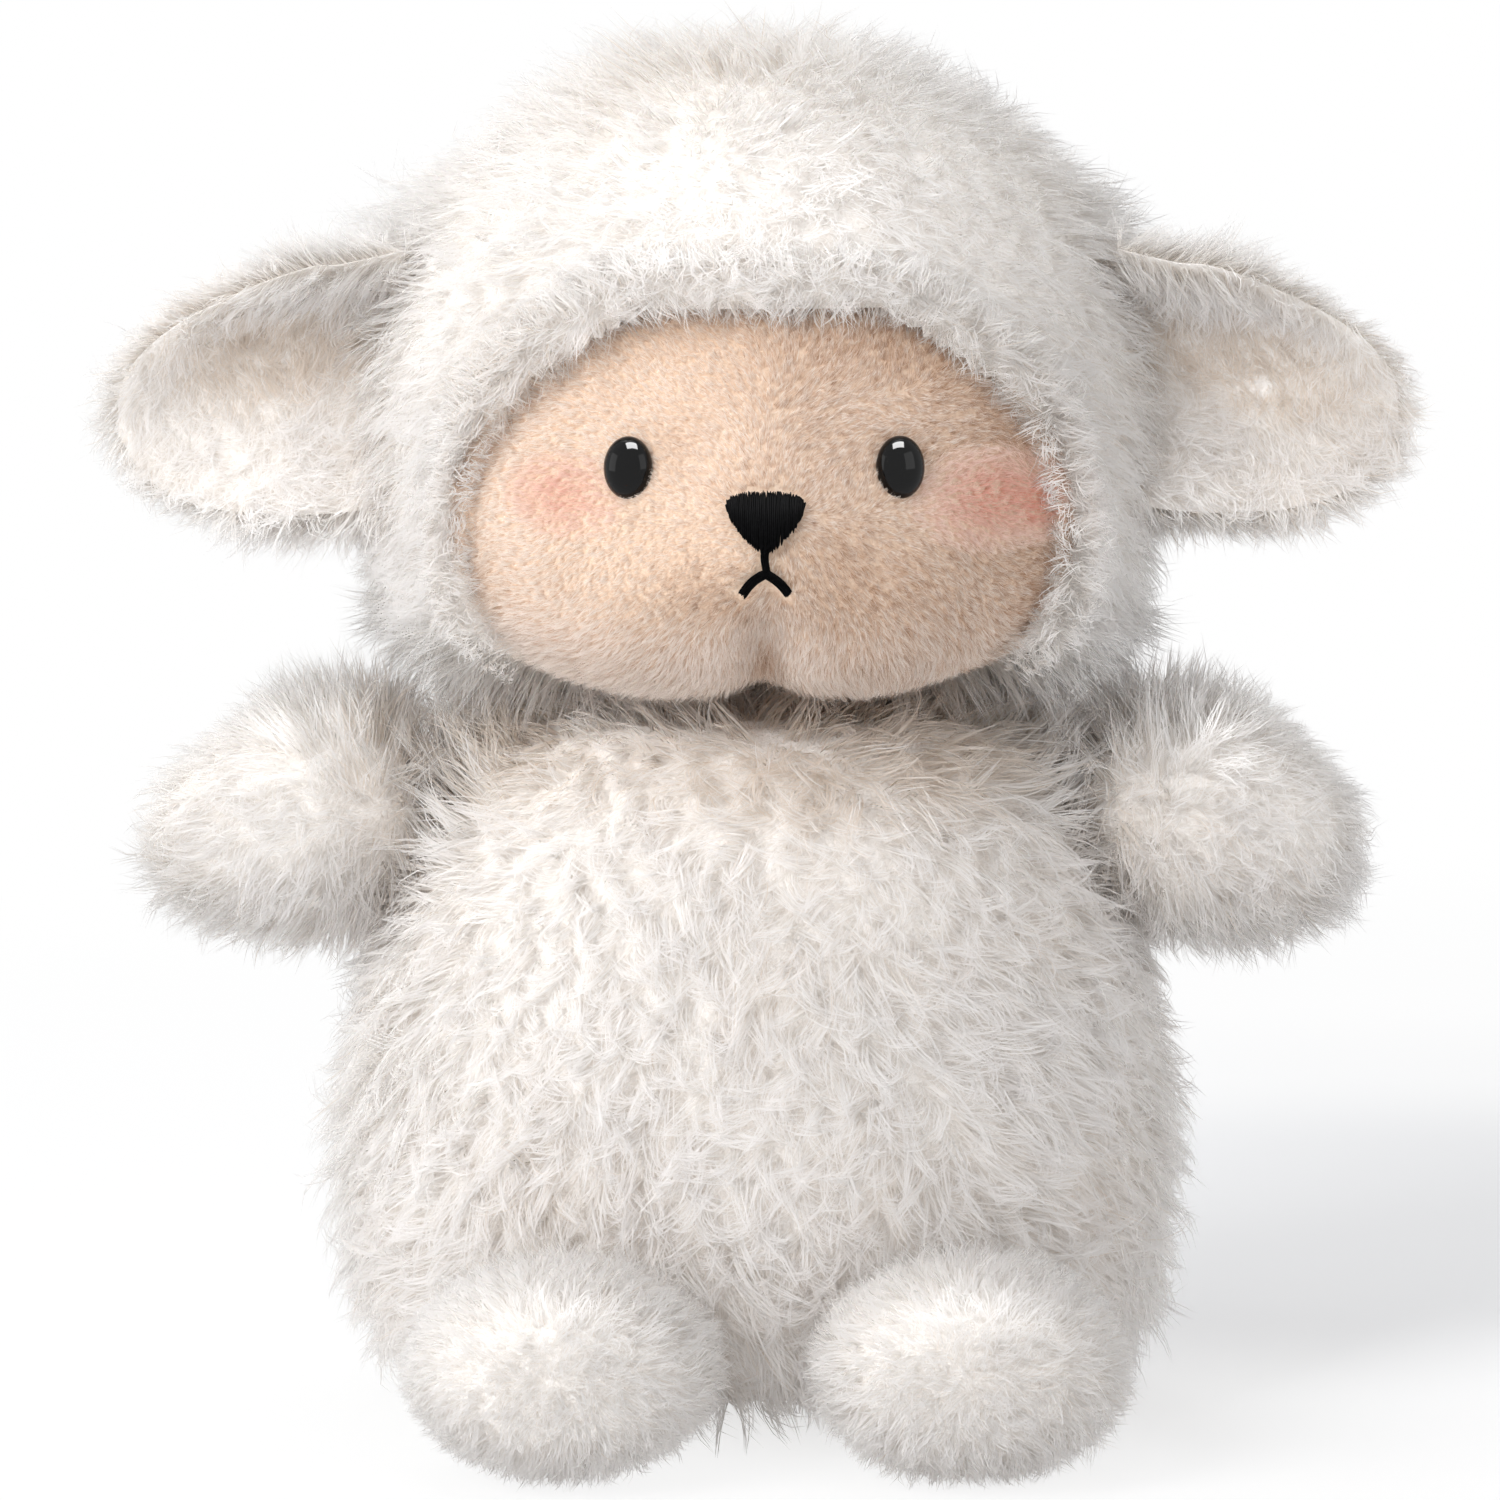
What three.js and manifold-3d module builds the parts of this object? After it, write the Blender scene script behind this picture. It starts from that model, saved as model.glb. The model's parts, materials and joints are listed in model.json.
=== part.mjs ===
// A sitting plush sheep in a fur hood, 300 mm tall, as its sewn, stuffed and fastened pieces.
// Millimetres, +Z up, the face towards -Y. The sheep's right side is at -X.
import * as THREE from "three";
import { mergeVertices } from "three/addons/utils/BufferGeometryUtils.js";
import Module from "manifold-3d";

const wasm = await Module();
wasm.setup();

// Fits
const gap = 0.3; // between pieces that touch
const overrun = 20; // how far a cutting tool runs past what it cuts
const backing = 1.2; // knitted cloth that the pile grows from
const degree = Math.PI / 180;
const weld = 1e-4; // corners of one surface that lie closer than this are one corner
const leastCornerShare = 0.5; // the least cosine that a mitred corner is worked out with

// Body
const bodyHeight = 150;
const bodyHalfWidth = 94;
const bodyFront = 79;
const bodyBack = 75;
const bodyPile = 9;
const bodyWall = bodyPile + backing;
const bodyWidthShares = [0.62, 0.84, 0.93, 0.975, 1, 0.985, 0.95, 0.895, 0.81, 0.69, 0.47];
const bodyHeightShares = [0, 0.035, 0.1, 0.2, 0.36, 0.5, 0.66, 0.79, 0.9, 0.965, 1];

// Head
const neckGap = 5; // between the top of the body and the underside of the head
const headBase = bodyHeight + neckGap;
const headHeight = 145;
const headHalfWidth = 90;
const headFront = 75;
const headBack = 70;
const headSetback = -4;
const headPile = 9;
const headWall = headPile + backing;
const headWidthShares = [0.42, 0.68, 0.854, 0.93, 0.975, 1, 0.985, 0.93, 0.84, 0.73, 0.58, 0.38, 0.2, 0];
const headHeightShares = [0, 0.018, 0.06, 0.11, 0.18, 0.33, 0.517, 0.655, 0.75, 0.83, 0.905, 0.965, 0.993, 1];

// Neck
const neckRadius = 28;
const neckHeight = bodyHeight + neckGap / 2;

// Face, a short pile panel that fills the opening of the hood
const faceLift = 7; // from the underside of the hood to that of the face
const faceRecess = 3; // from the front of the hood back to that of the face
const faceBase = headBase + faceLift;
const faceHeight = 106;
const faceHalfWidth = 70;
const faceFront = 46;
const faceSetback = headSetback - headFront + faceRecess + faceFront;
const facePile = 3;
const faceWall = facePile + backing;
const faceWidthShares = [0.45, 0.75, 0.92, 1, 0.97, 0.88, 0.74, 0.52, 0.25, 0];
const faceHeightShares = [0, 0.06, 0.16, 0.33, 0.5, 0.66, 0.8, 0.92, 0.985, 1];
const muzzleRise = 12;
const muzzleLift = 34;
const muzzleHeight = faceBase + muzzleLift;
const muzzleReach = 23;
const cheekRise = 9;
const cheekLift = 21;
const cheekHeight = faceBase + cheekLift;
const cheekSpread = 32;
const cheekReach = 20;
const cleftDepth = 8;
const cleftLift = 8;
const cleftHeight = faceBase + cleftLift;
const cleftReach = 6;
const cleftRun = 12;

// Opening of the hood, seen from the front
const openingHalfWidth = 63;
const openingHeight = 92;
const openingDepth = 45;
const openingBack = headSetback - headFront + openingDepth;
const openingWidthShares = [0.76, 0.8, 0.905, 0.975, 1, 0.975, 0.89, 0.73, 0.43, 0];
const openingHeightShares = [-0.12, 0.12, 0.2, 0.28, 0.4, 0.555, 0.72, 0.845, 0.985, 1];

// Nose and mouth, embroidered
const noseHalfWidth = 8.2;
const noseHeight = 12.2;
const noseLift = 6.8; // above the middle of the muzzle
const noseCentre = muzzleHeight + noseLift;
const noseProud = 2.2;
const noseBevel = 1.2;
const noseTipShare = 0.3;
const noseLowShare = 0.5;
const noseSideShare = 0.1;
const noseBrowShare = 0.62;
const mouthThread = 0.85;
const mouthStem = 5;
const mouthHalfWidth = 4.8;
const mouthDrop = 4.2;

// Eyes, each a domed button on a ridged post with a locking washer behind the cloth
const eyeSpread = 28.5;
const eyeLift = 9.7; // above the middle of the nose
const eyeHeight = noseCentre + eyeLift;
const eyeHalfWidth = 5.2;
const eyeHalfHeight = 6.6;
const eyeDome = 4.6;
const eyeRim = 0.8;
const eyeSink = 1.2;
const eyeYaw = 15 * degree;
const eyePitch = 5 * degree;
const postRadius = 2.2;
const postLength = 14;
const ridgeCount = 5;
const ridgeHeight = 0.35;
const washerRadius = 8;
const washerThick = 1.6;
const washerHub = 1.2;
const washerHubRadius = 4;
const washerSink = 0.5;

// Ears
const earLift = 70; // from the underside of the head to the middle of an ear's seam
const earHeight = headBase + earLift;
const earForward = 4; // in front of the middle of the head
const earSetback = headSetback - earForward;
const earSink = 6;
const earLength = 62;
const earHalfHeight = 33;
const earFrontThick = 5;
const earBackThick = 12.5;
const earRimShare = 0.7; // the power that fills the rim: 1 leaves it an ellipse
const earCup = 15;
const earFlapShare = 0.3; // how much further forward the upper rim bends, and less the lower one
const earDroop = 13 * degree;
const earFold = 18 * degree;
const earSeam = 0.9; // left between the two panels of an ear, in mid cloth
const earWidthShares = [0.9, 0.96, 1, 0.97, 0.9, 0.79, 0.62, 0.37, 0];
const earLengthShares = [-0.3, 0, 0.12, 0.28, 0.45, 0.64, 0.81, 0.94, 1]; // the first lies in the head

// Arms
const shoulderDrop = 16; // below the top of the body
const shoulderHeight = bodyHeight - shoulderDrop;
const shoulderSetback = -4;
const armLength = 61.5;
const armHalfWidth = 30;
const armRoot = 14;
const armPile = 7;
const armWall = armPile + backing;
const armForward = 32 * degree;
const armBackward = 12 * degree;
const armThroat = 26; // how far the wall stays closed round the filling's neck
const armWidthShares = [0.6, 0.84, 0.92, 1, 0.95, 0.77, 0.6, 0.42, 0];
const armLengthShares = [-0.12, 0.03, 0.18, 0.33, 0.5, 0.71, 0.84, 0.93, 1];

const restingArms = {
  right: { side: -1, droop: 12 * degree, forward: 3 * degree },
  left: { side: 1, droop: 12 * degree, forward: 18 * degree },
};

// Legs
const hipSpread = 43;
const legLength = 52;
const legHalfWidth = 35.5;
const legHalfHeight = 25;
const legFlat = 0.5; // how deep the underside of a leg is flat where it rests
const hipHeight = legHalfHeight - legFlat;
const legRoot = 17;
const legPile = 6;
const legWall = legPile + backing;
const legOutward = 12 * degree;
const legInward = 3 * degree;
const legThroat = 12;
const legWidthShares = [0.6, 0.86, 0.96, 1, 0.96, 0.82, 0.58, 0.32, 0];
const legLengthShares = [-0.2, -0.02, 0.2, 0.42, 0.64, 0.83, 0.95, 0.99, 1];

// Filling
const plugRadius = 4;
const plugShare = 0.9; // how deep the filling's neck reaches into a limb's root
const pelletHalfWidth = 52;
const pelletHeight = 22;
const pelletWidthShares = [0.7, 0.93, 1, 0.9, 0.66, 0.3, 0];
const pelletHeightShares = [0, 0.14, 0.4, 0.7, 0.9, 0.99, 1];

// Tail
const tailHeight = 46;
const tailRadius = 15;
const tailWall = 6;

// How finely the round forms are divided
const bodyFacets = { sectors: 24, rings: 12 };
const liningFacets = { sectors: 16, rings: 8 };
const faceFacets = { sectors: 36, rings: 12 };
const faceLiningFacets = { sectors: 24, rings: 9 };
const limbFacets = { sectors: 14, rings: 6 };
const earFacets = { sectors: 18, rings: 9 };
const limbLiningFacets = { sectors: 10, rings: 6 };
const smallFacets = 14;
const roundFacets = 20;
const bevelFacets = 3;
const curveFacets = 5;
const threadFacets = 3;
const threadSteps = 4;

const finishes = {
  longPile: [0xf4f0ea, 1],
  shortPile: [0xe6cbb0, 1],
  filling: [0xfafafa, 1],
  gloss: [0x0b0a0a, 0.08],
  plastic: [0xd9d9d6, 0.5],
  thread: [0x100e0e, 0.45],
  pellets: [0xcfcac2, 0.7],
};

// Solids

function solidOf(geometry) {
  const bare = new THREE.BufferGeometry();
  bare.setAttribute("position", geometry.getAttribute("position"));
  bare.setIndex(geometry.getIndex());
  const merged = mergeVertices(bare, weld);
  const index = merged.getIndex().array;
  const corners = [];
  for (let i = 0; i < index.length; i += 3) {
    const [a, b, c] = index.slice(i, i + 3);
    if (a !== b && b !== c && c !== a) corners.push(a, b, c);
  }
  return new wasm.Manifold(
    new wasm.Mesh({
      numProp: 3,
      vertProperties: merged.getAttribute("position").array,
      triVerts: new Uint32Array(corners),
    }),
  );
}

function geometryOf(solid) {
  const { vertProperties, triVerts } = solid.getMesh();
  const geometry = new THREE.BufferGeometry();
  geometry.setAttribute("position", new THREE.BufferAttribute(vertProperties, 3));
  geometry.setIndex(new THREE.BufferAttribute(triVerts, 1));
  geometry.computeVertexNormals();
  return geometry;
}

// A named piece whose own origin is the point that it turns about, or the toy's origin.
function pieceOf(name, solid, finish, origin = new THREE.Vector3()) {
  const [color, roughness] = finishes[finish];
  const geometry = geometryOf(solid).translate(-origin.x, -origin.y, -origin.z);
  const mesh = new THREE.Mesh(geometry, new THREE.MeshStandardMaterial({ color, roughness, metalness: 0 }));
  mesh.name = name;
  mesh.position.copy(origin);
  return mesh;
}

function withoutAll(solid, tools) {
  return tools.reduce((left, tool) => left.subtract(tool), solid);
}

// Outlines, as points of radius and height from the lower end of the axis to the upper one

function smoothOutline(widthShares, heightShares, halfWidth, height, rings) {
  const points = widthShares.map(
    (share, i) => new THREE.Vector2(share * halfWidth, heightShares[i] * height),
  );
  return new THREE.SplineCurve(points).getSpacedPoints(rings);
}

// A flat or pointed end is closed by a point on the axis.
function closedOutline(points) {
  const outline = points.map((point) => point.clone());
  if (outline[0].x > gap) outline.unshift(new THREE.Vector2(0, outline[0].y));
  const last = outline[outline.length - 1];
  if (last.x > gap) outline.push(new THREE.Vector2(0, last.y));
  else last.setX(0);
  return outline;
}

function insetOutline(outline, inset) {
  const last = outline.length - 1;
  return outline.map((point, i) => {
    if (i === 0) return new THREE.Vector2(0, point.y + inset);
    if (i === last) return new THREE.Vector2(0, point.y - inset);
    const before = point.clone().sub(outline[i - 1]).normalize();
    const after = outline[i + 1].clone().sub(point).normalize();
    const along = before.clone().add(after).normalize();
    const outward = new THREE.Vector2(along.y, -along.x);
    const miter = inset / Math.max(along.dot(before), leastCornerShare);
    return point.clone().addScaledVector(outward, -miter);
  });
}

// A round form about the Z axis whose sections are ellipses, deeper or flatter towards -Y and +Y.
function stuffedForm({ outline, halfWidth, front, back }, inset, sectors) {
  const lathe = new THREE.LatheGeometry(insetOutline(outline, inset), sectors).rotateX(Math.PI / 2);
  const place = lathe.getAttribute("position");
  const frontShare = (front - inset) / (halfWidth - inset);
  const backShare = (back - inset) / (halfWidth - inset);
  for (let i = 0; i < place.count; i += 1) {
    const y = place.getY(i);
    place.setY(i, y * (y < 0 ? frontShare : backShare));
  }
  return lathe;
}

function roundForm(radius, height = radius, facets = smallFacets) {
  return new THREE.SphereGeometry(1, facets, facets / 2).rotateX(Math.PI / 2).scale(radius, radius, height);
}

// A hollow for a ball to turn in: its flats stand clear of the ball's corners.
function socketForm(radius, height = radius, facets = smallFacets) {
  const clearance = Math.cos(Math.PI / facets) ** 2;
  return roundForm((radius + gap) / clearance, (height + gap) / clearance, facets);
}

function rod(radius, from, to, facets = smallFacets) {
  const length = to - from;
  return new THREE.CylinderGeometry(radius, radius, length, facets)
    .rotateX(Math.PI / 2)
    .translate(0, 0, from + length / 2);
}

// Forms

function bodyForm(inset, facets = bodyFacets) {
  const side = smoothOutline(bodyWidthShares, bodyHeightShares, bodyHalfWidth, bodyHeight, facets.rings);
  const shape = { outline: closedOutline(side), halfWidth: bodyHalfWidth, front: bodyFront, back: bodyBack };
  return stuffedForm(shape, inset, facets.sectors);
}

function headForm(inset, facets = bodyFacets) {
  const side = smoothOutline(headWidthShares, headHeightShares, headHalfWidth, headHeight, facets.rings);
  const shape = { outline: closedOutline(side), halfWidth: headHalfWidth, front: headFront, back: headBack };
  return stuffedForm(shape, inset, facets.sectors).translate(0, headSetback, headBase);
}

// The swellings of the face push its front forward: a muzzle, two cheeks and the cleft under the mouth.
const faceSwellings = [
  { x: 0, z: muzzleHeight, rise: muzzleRise, across: muzzleReach, along: muzzleReach },
  { x: -cheekSpread, z: cheekHeight, rise: cheekRise, across: cheekReach, along: cheekReach },
  { x: cheekSpread, z: cheekHeight, rise: cheekRise, across: cheekReach, along: cheekReach },
  { x: 0, z: cleftHeight, rise: -cleftDepth, across: cleftReach, along: cleftRun },
];

function faceForm(inset, facets = faceFacets) {
  const side = smoothOutline(faceWidthShares, faceHeightShares, faceHalfWidth, faceHeight, facets.rings);
  const shape = { outline: closedOutline(side), halfWidth: faceHalfWidth, front: faceFront, back: faceFront };
  const form = stuffedForm(shape, inset, facets.sectors).translate(0, 0, faceBase);
  const place = form.getAttribute("position");
  for (let i = 0; i < place.count; i += 1) {
    const forwardShare = Math.max(0, -place.getY(i) / faceFront);
    let rise = 0;
    for (const swelling of faceSwellings) {
      const across = (place.getX(i) - swelling.x) / swelling.across;
      const along = (place.getZ(i) - swelling.z) / swelling.along;
      rise += swelling.rise * Math.exp(-across * across - along * along);
    }
    place.setY(i, place.getY(i) - rise * forwardShare);
  }
  return form.translate(0, faceSetback, 0);
}

// The block that opens the front of the hood. A trim makes the smaller block that the face panel fills.
function openingBlock(trim, back) {
  const side = openingWidthShares.map(
    (share, i) => new THREE.Vector2(share * openingHalfWidth, openingHeightShares[i] * openingHeight),
  );
  const right = new THREE.SplineCurve(side).getSpacedPoints(faceFacets.rings);
  const left = right.slice(0, -1).reverse();
  const across = (openingHalfWidth - trim) / openingHalfWidth;
  const upward = (openingHeight - trim) / openingHeight;
  const outline = new THREE.Shape([
    ...right.map((point) => new THREE.Vector2(point.x * across, point.y * upward)),
    ...left.map((point) => new THREE.Vector2(-point.x * across, point.y * upward)),
  ]);
  const depth = headFront + overrun + muzzleRise;
  return new THREE.ExtrudeGeometry(outline, { depth: depth + back, bevelEnabled: false, steps: 1 })
    .rotateX(Math.PI / 2)
    .translate(0, back, headBase);
}

// Places on the surface of a form

function surfacePoint(geometry, from, towards) {
  const surface = new THREE.Mesh(geometry, new THREE.MeshBasicMaterial({ side: THREE.DoubleSide }));
  const [first] = new THREE.Raycaster(from, towards).intersectObject(surface);
  return first.point;
}

const farAway = headHalfWidth + earLength + overrun;
const faceSurface = faceForm(0);

function onFace(x, z) {
  return surfacePoint(faceSurface, new THREE.Vector3(x, -farAway, z), new THREE.Vector3(0, 1, 0));
}

function onSide(geometry, side, y, z) {
  return surfacePoint(geometry, new THREE.Vector3(side * farAway, y, z), new THREE.Vector3(-side, 0, 0));
}

// A solid turned about the upright line through a pivot, once for each angle.
function turnedCopies(solid, pivot, angles) {
  return angles.map((angle) =>
    solid
      .translate([-pivot.x, -pivot.y, 0])
      .rotate([0, 0, angle / degree])
      .translate([pivot.x, pivot.y, 0]),
  );
}

const head = { outer: solidOf(headForm(0)), clear: solidOf(headForm(-gap)) };
const body = { outer: solidOf(bodyForm(0)), clear: solidOf(bodyForm(-gap)) };
const floor = solidOf(
  new THREE.BoxGeometry(2 * farAway, 2 * farAway, overrun).translate(0, 0, -overrun / 2),
);

// Limbs: a stuffed form with a ball root, which turns in a socket of the body

const arm = {
  widthShares: armWidthShares,
  lengthShares: armLengthShares,
  length: armLength,
  halfWidth: armHalfWidth,
  halfHeight: armHalfWidth,
  root: armRoot,
  wall: armWall,
  throat: armThroat,
};
const leg = {
  widthShares: legWidthShares,
  lengthShares: legLengthShares,
  length: legLength,
  halfWidth: legHalfWidth,
  halfHeight: legHalfHeight,
  root: legRoot,
  wall: legWall,
  throat: legThroat,
};

function limbForm(limb, inset, facets = limbFacets) {
  const side = smoothOutline(limb.widthShares, limb.lengthShares, limb.halfWidth, limb.length, facets.rings);
  const { halfWidth, halfHeight } = limb;
  const shape = { outline: closedOutline(side), halfWidth, front: halfHeight, back: halfHeight };
  return stuffedForm(shape, inset, facets.sectors);
}

// The hollow of a limb's skin, or the filling in it: swollen past the throat, and narrow towards the root.
function limbHollow(limb, inset, radius) {
  const beyond = solidOf(rod(limb.halfWidth, limb.throat + inset - limb.wall, limb.length));
  const swelling = solidOf(limbForm(limb, inset, limbLiningFacets)).intersect(beyond);
  return swelling.add(solidOf(rod(radius, -limb.root * plugShare, limb.throat + limb.wall)));
}

function makeLimb({ name, limb, place, pivot, angles }) {
  const rootHeight = (limb.root * limb.halfHeight) / limb.halfWidth;
  const socket = solidOf(socketForm(limb.root, rootHeight).translate(pivot.x, pivot.y, pivot.z));
  const ball = solidOf(roundForm(limb.root, rootHeight).translate(pivot.x, pivot.y, pivot.z));
  const placed = (solid) => solidOf(geometryOf(solid).applyMatrix4(place));
  const room = [...turnedCopies(body.clear, pivot, angles), floor];
  const outer = withoutAll(placed(solidOf(limbForm(limb, 0))), room).add(ball);
  const mouth = placed(solidOf(rod(plugRadius, -limb.root - overrun, 0)));
  const skin = outer.subtract(placed(limbHollow(limb, limb.wall, plugRadius))).subtract(mouth);
  const beyondBall = room.map((tool) => tool.subtract(ball));
  const filling = withoutAll(placed(limbHollow(limb, limb.wall + gap, plugRadius - gap)), beyondBall);
  return {
    socket,
    pieces: [
      pieceOf(name + "_skin", skin, "longPile", pivot),
      pieceOf(name + "_stuffing", filling, "filling", pivot),
    ],
  };
}

function makeArm(name, side, droop, forward) {
  const pivot = onSide(bodyForm(0), side, shoulderSetback, shoulderHeight);
  const place = new THREE.Matrix4()
    .makeTranslation(pivot.x, pivot.y, pivot.z)
    .multiply(new THREE.Matrix4().makeRotationZ(-side * forward))
    .multiply(new THREE.Matrix4().makeRotationY(side * (Math.PI / 2 + droop)));
  const angles = [side * armForward, 0, -side * armBackward];
  return makeLimb({ name, limb: arm, place, pivot, angles });
}

function makeLeg(name, side) {
  const from = new THREE.Vector3(side * hipSpread, -farAway, hipHeight);
  const pivot = surfacePoint(bodyForm(0), from, new THREE.Vector3(0, 1, 0));
  const place = new THREE.Matrix4()
    .makeTranslation(pivot.x, pivot.y, pivot.z)
    .multiply(new THREE.Matrix4().makeRotationX(Math.PI / 2));
  const angles = [-side * legOutward, 0, side * legInward];
  return makeLimb({ name, limb: leg, place, pivot, angles });
}

// Ears: a furry back and a softer front sewn round the rim, cupped forward

function earPanel(towardsFront, side) {
  const outline = smoothOutline(earWidthShares, earLengthShares, earHalfHeight, earLength, earFacets.rings);
  const thick = towardsFront ? earFrontThick : earBackThick;
  const shape = {
    outline: closedOutline(outline),
    halfWidth: earHalfHeight,
    front: towardsFront ? thick : 0,
    back: towardsFront ? 0 : thick,
  };
  const panel = stuffedForm(shape, 0, earFacets.sectors);
  const place = panel.getAttribute("position");
  const apart = towardsFront ? -earSeam / 2 : earSeam / 2;
  for (let i = 0; i < place.count; i += 1) {
    const edge = place.getX(i) / earHalfHeight;
    const deep = place.getY(i) / thick;
    const fill = deep === 0 ? 0 : Math.abs(deep / Math.hypot(edge, deep)) ** (earRimShare - 1);
    const bend = earCup * edge * edge * (1 - side * earFlapShare * edge);
    place.setY(i, place.getY(i) * fill + apart - bend);
  }
  return panel;
}

function makeEar(name, side) {
  const pivot = onSide(headForm(0), side, earSetback, earHeight);
  const seats = turnedCopies(head.clear, pivot, [earFold, 0, -earFold]);
  const place = new THREE.Matrix4()
    .makeTranslation(pivot.x - side * earSink, pivot.y, pivot.z)
    .multiply(new THREE.Matrix4().makeRotationY(side * (Math.PI / 2 + earDroop)));
  return ["front", "back"].map((half) => {
    const panel = solidOf(earPanel(half === "front", side).applyMatrix4(place));
    return pieceOf(name + "_" + half, withoutAll(panel, seats), "longPile", pivot);
  });
}

// Eyes

function eyePlace(side) {
  const outward = new THREE.Vector3(
    side * Math.sin(eyeYaw) * Math.cos(eyePitch),
    -Math.cos(eyeYaw) * Math.cos(eyePitch),
    Math.sin(eyePitch),
  );
  const sideways = new THREE.Vector3(0, 0, 1).cross(outward).normalize();
  const upward = outward.clone().cross(sideways);
  const place = new THREE.Matrix4().makeBasis(sideways, upward, outward);
  return place.setPosition(onFace(side * eyeSpread, eyeHeight));
}

// The button's rim and dome, and the post behind it with its ring of ridges.
function eyeButton() {
  const profile = [new THREE.Vector2(0, -eyeSink - postLength)];
  const pitch = postLength / (2 * ridgeCount + 2);
  for (let i = 0; i < ridgeCount; i += 1) {
    const start = -eyeSink - postLength + pitch * (2 * i + 1);
    profile.push(new THREE.Vector2(postRadius - ridgeHeight, start));
    profile.push(new THREE.Vector2(postRadius, start + pitch));
  }
  profile.splice(1, 0, new THREE.Vector2(postRadius - ridgeHeight, -eyeSink - postLength));
  profile.push(new THREE.Vector2(postRadius - ridgeHeight, -eyeSink));
  profile.push(new THREE.Vector2(0, -eyeSink));
  const post = solidOf(new THREE.LatheGeometry(profile, smallFacets).rotateX(Math.PI / 2));
  const bow = [new THREE.Vector2(0, -eyeSink - gap), new THREE.Vector2(eyeHalfHeight, -eyeSink - gap)];
  const steps = smallFacets / 2;
  for (let i = 0; i <= steps; i += 1) {
    const turn = ((Math.PI / 2) * i) / steps;
    const height = eyeRim - eyeSink + (eyeDome - eyeRim) * Math.sin(turn);
    bow.push(new THREE.Vector2(eyeHalfHeight * Math.cos(turn), height));
  }
  bow[bow.length - 1].setX(0);
  const dome = new THREE.LatheGeometry(bow, roundFacets).rotateX(Math.PI / 2);
  return post.add(solidOf(dome.scale(eyeHalfWidth / eyeHalfHeight, 1, 1)));
}

function washerFace() {
  return -faceWall + washerSink;
}

function washerRing() {
  const bore = postRadius + gap;
  const front = washerFace() - gap;
  const profile = [
    new THREE.Vector2(bore, front - washerThick - washerHub),
    new THREE.Vector2(washerHubRadius, front - washerThick - washerHub),
    new THREE.Vector2(washerHubRadius + washerHub, front - washerThick),
    new THREE.Vector2(washerRadius, front - washerThick),
    new THREE.Vector2(washerRadius, front),
    new THREE.Vector2(bore, front),
    new THREE.Vector2(bore, front - washerThick - washerHub),
  ];
  return new THREE.LatheGeometry(profile, roundFacets).rotateX(Math.PI / 2);
}

// What an eye needs cut in the face panel: the button's seat, the post's hole and the washer's flat.
function eyeSeat() {
  const seat = rod(eyeHalfHeight + gap, -eyeSink - gap - gap, overrun, roundFacets);
  const seatWide = (eyeHalfWidth + gap) / (eyeHalfHeight + gap);
  return [
    seat.scale(seatWide, 1, 1),
    rod(postRadius + gap, -postLength - overrun, 0),
    rod(washerRadius + gap, -postLength - overrun, washerFace()),
  ];
}

function makeEyes() {
  const pieces = [];
  const seats = [];
  for (const side of [-1, 1]) {
    const place = eyePlace(side);
    const name = side < 0 ? "right" : "left";
    const placed = (geometry) => solidOf(geometry.applyMatrix4(place));
    const button = solidOf(geometryOf(eyeButton()).applyMatrix4(place));
    pieces.push(pieceOf("eye_" + name, button, "gloss"));
    pieces.push(pieceOf("eye_washer_" + name, placed(washerRing()), "plastic"));
    const tools = eyeSeat().map(placed);
    const pocket = placed(rod(washerRadius + gap, -postLength - eyeSink - gap, 0));
    seats.push({ tools, pocket });
  }
  return { pieces, seats };
}

// Nose and mouth

function makeNose(clearFace) {
  const half = noseHalfWidth - noseBevel;
  const top = noseHeight / 2 - noseBevel;
  const outline = new THREE.Shape();
  outline.moveTo(0, -top);
  outline.quadraticCurveTo(half * noseTipShare, -top, half * noseLowShare, -top * noseLowShare);
  outline.quadraticCurveTo(half, top * noseSideShare, half, top * noseBrowShare);
  outline.quadraticCurveTo(half, top, half * noseBrowShare, top);
  outline.lineTo(-half * noseBrowShare, top);
  outline.quadraticCurveTo(-half, top, -half, top * noseBrowShare);
  outline.quadraticCurveTo(-half, top * noseSideShare, -half * noseLowShare, -top * noseLowShare);
  outline.quadraticCurveTo(-half * noseTipShare, -top, 0, -top);
  const depth = muzzleRise;
  const pad = new THREE.ExtrudeGeometry(outline, {
    depth,
    curveSegments: curveFacets,
    bevelThickness: noseBevel,
    bevelSize: noseBevel,
    bevelSegments: bevelFacets,
  }).rotateX(Math.PI / 2);
  const front = onFace(0, noseCentre).y - noseProud;
  return solidOf(pad.translate(0, front + depth + noseBevel, noseCentre)).subtract(clearFace);
}

// A thread laid on the face from one place to another, each given across and up.
function threadOnFace(from, to) {
  const points = [];
  for (let i = 0; i <= threadSteps; i += 1) {
    const flat = from.clone().lerp(to, i / threadSteps);
    const place = onFace(flat.x, flat.y);
    points.push(place.setY(place.y - gap));
  }
  const section = new THREE.Shape().absarc(0, 0, mouthThread, 0, 2 * Math.PI);
  return solidOf(
    new THREE.ExtrudeGeometry(section, {
      steps: 2 * threadSteps,
      curveSegments: threadFacets,
      bevelEnabled: false,
      extrudePath: new THREE.CatmullRomCurve3(points),
    }),
  );
}

function makeMouth(clearFace) {
  const start = new THREE.Vector2(0, noseCentre - noseHeight / 2 - gap);
  const fork = new THREE.Vector2(0, start.y - mouthStem);
  const ends = [-1, 1].map((side) => new THREE.Vector2(side * mouthHalfWidth, fork.y - mouthDrop));
  const knot = onFace(fork.x, fork.y);
  const join = solidOf(roundForm(mouthThread).translate(knot.x, knot.y - gap, knot.z));
  const threads = [threadOnFace(start, fork), ...ends.map((end) => threadOnFace(fork, end))];
  return threads.reduce((whole, thread) => whole.add(thread), join).subtract(clearFace);
}

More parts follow.
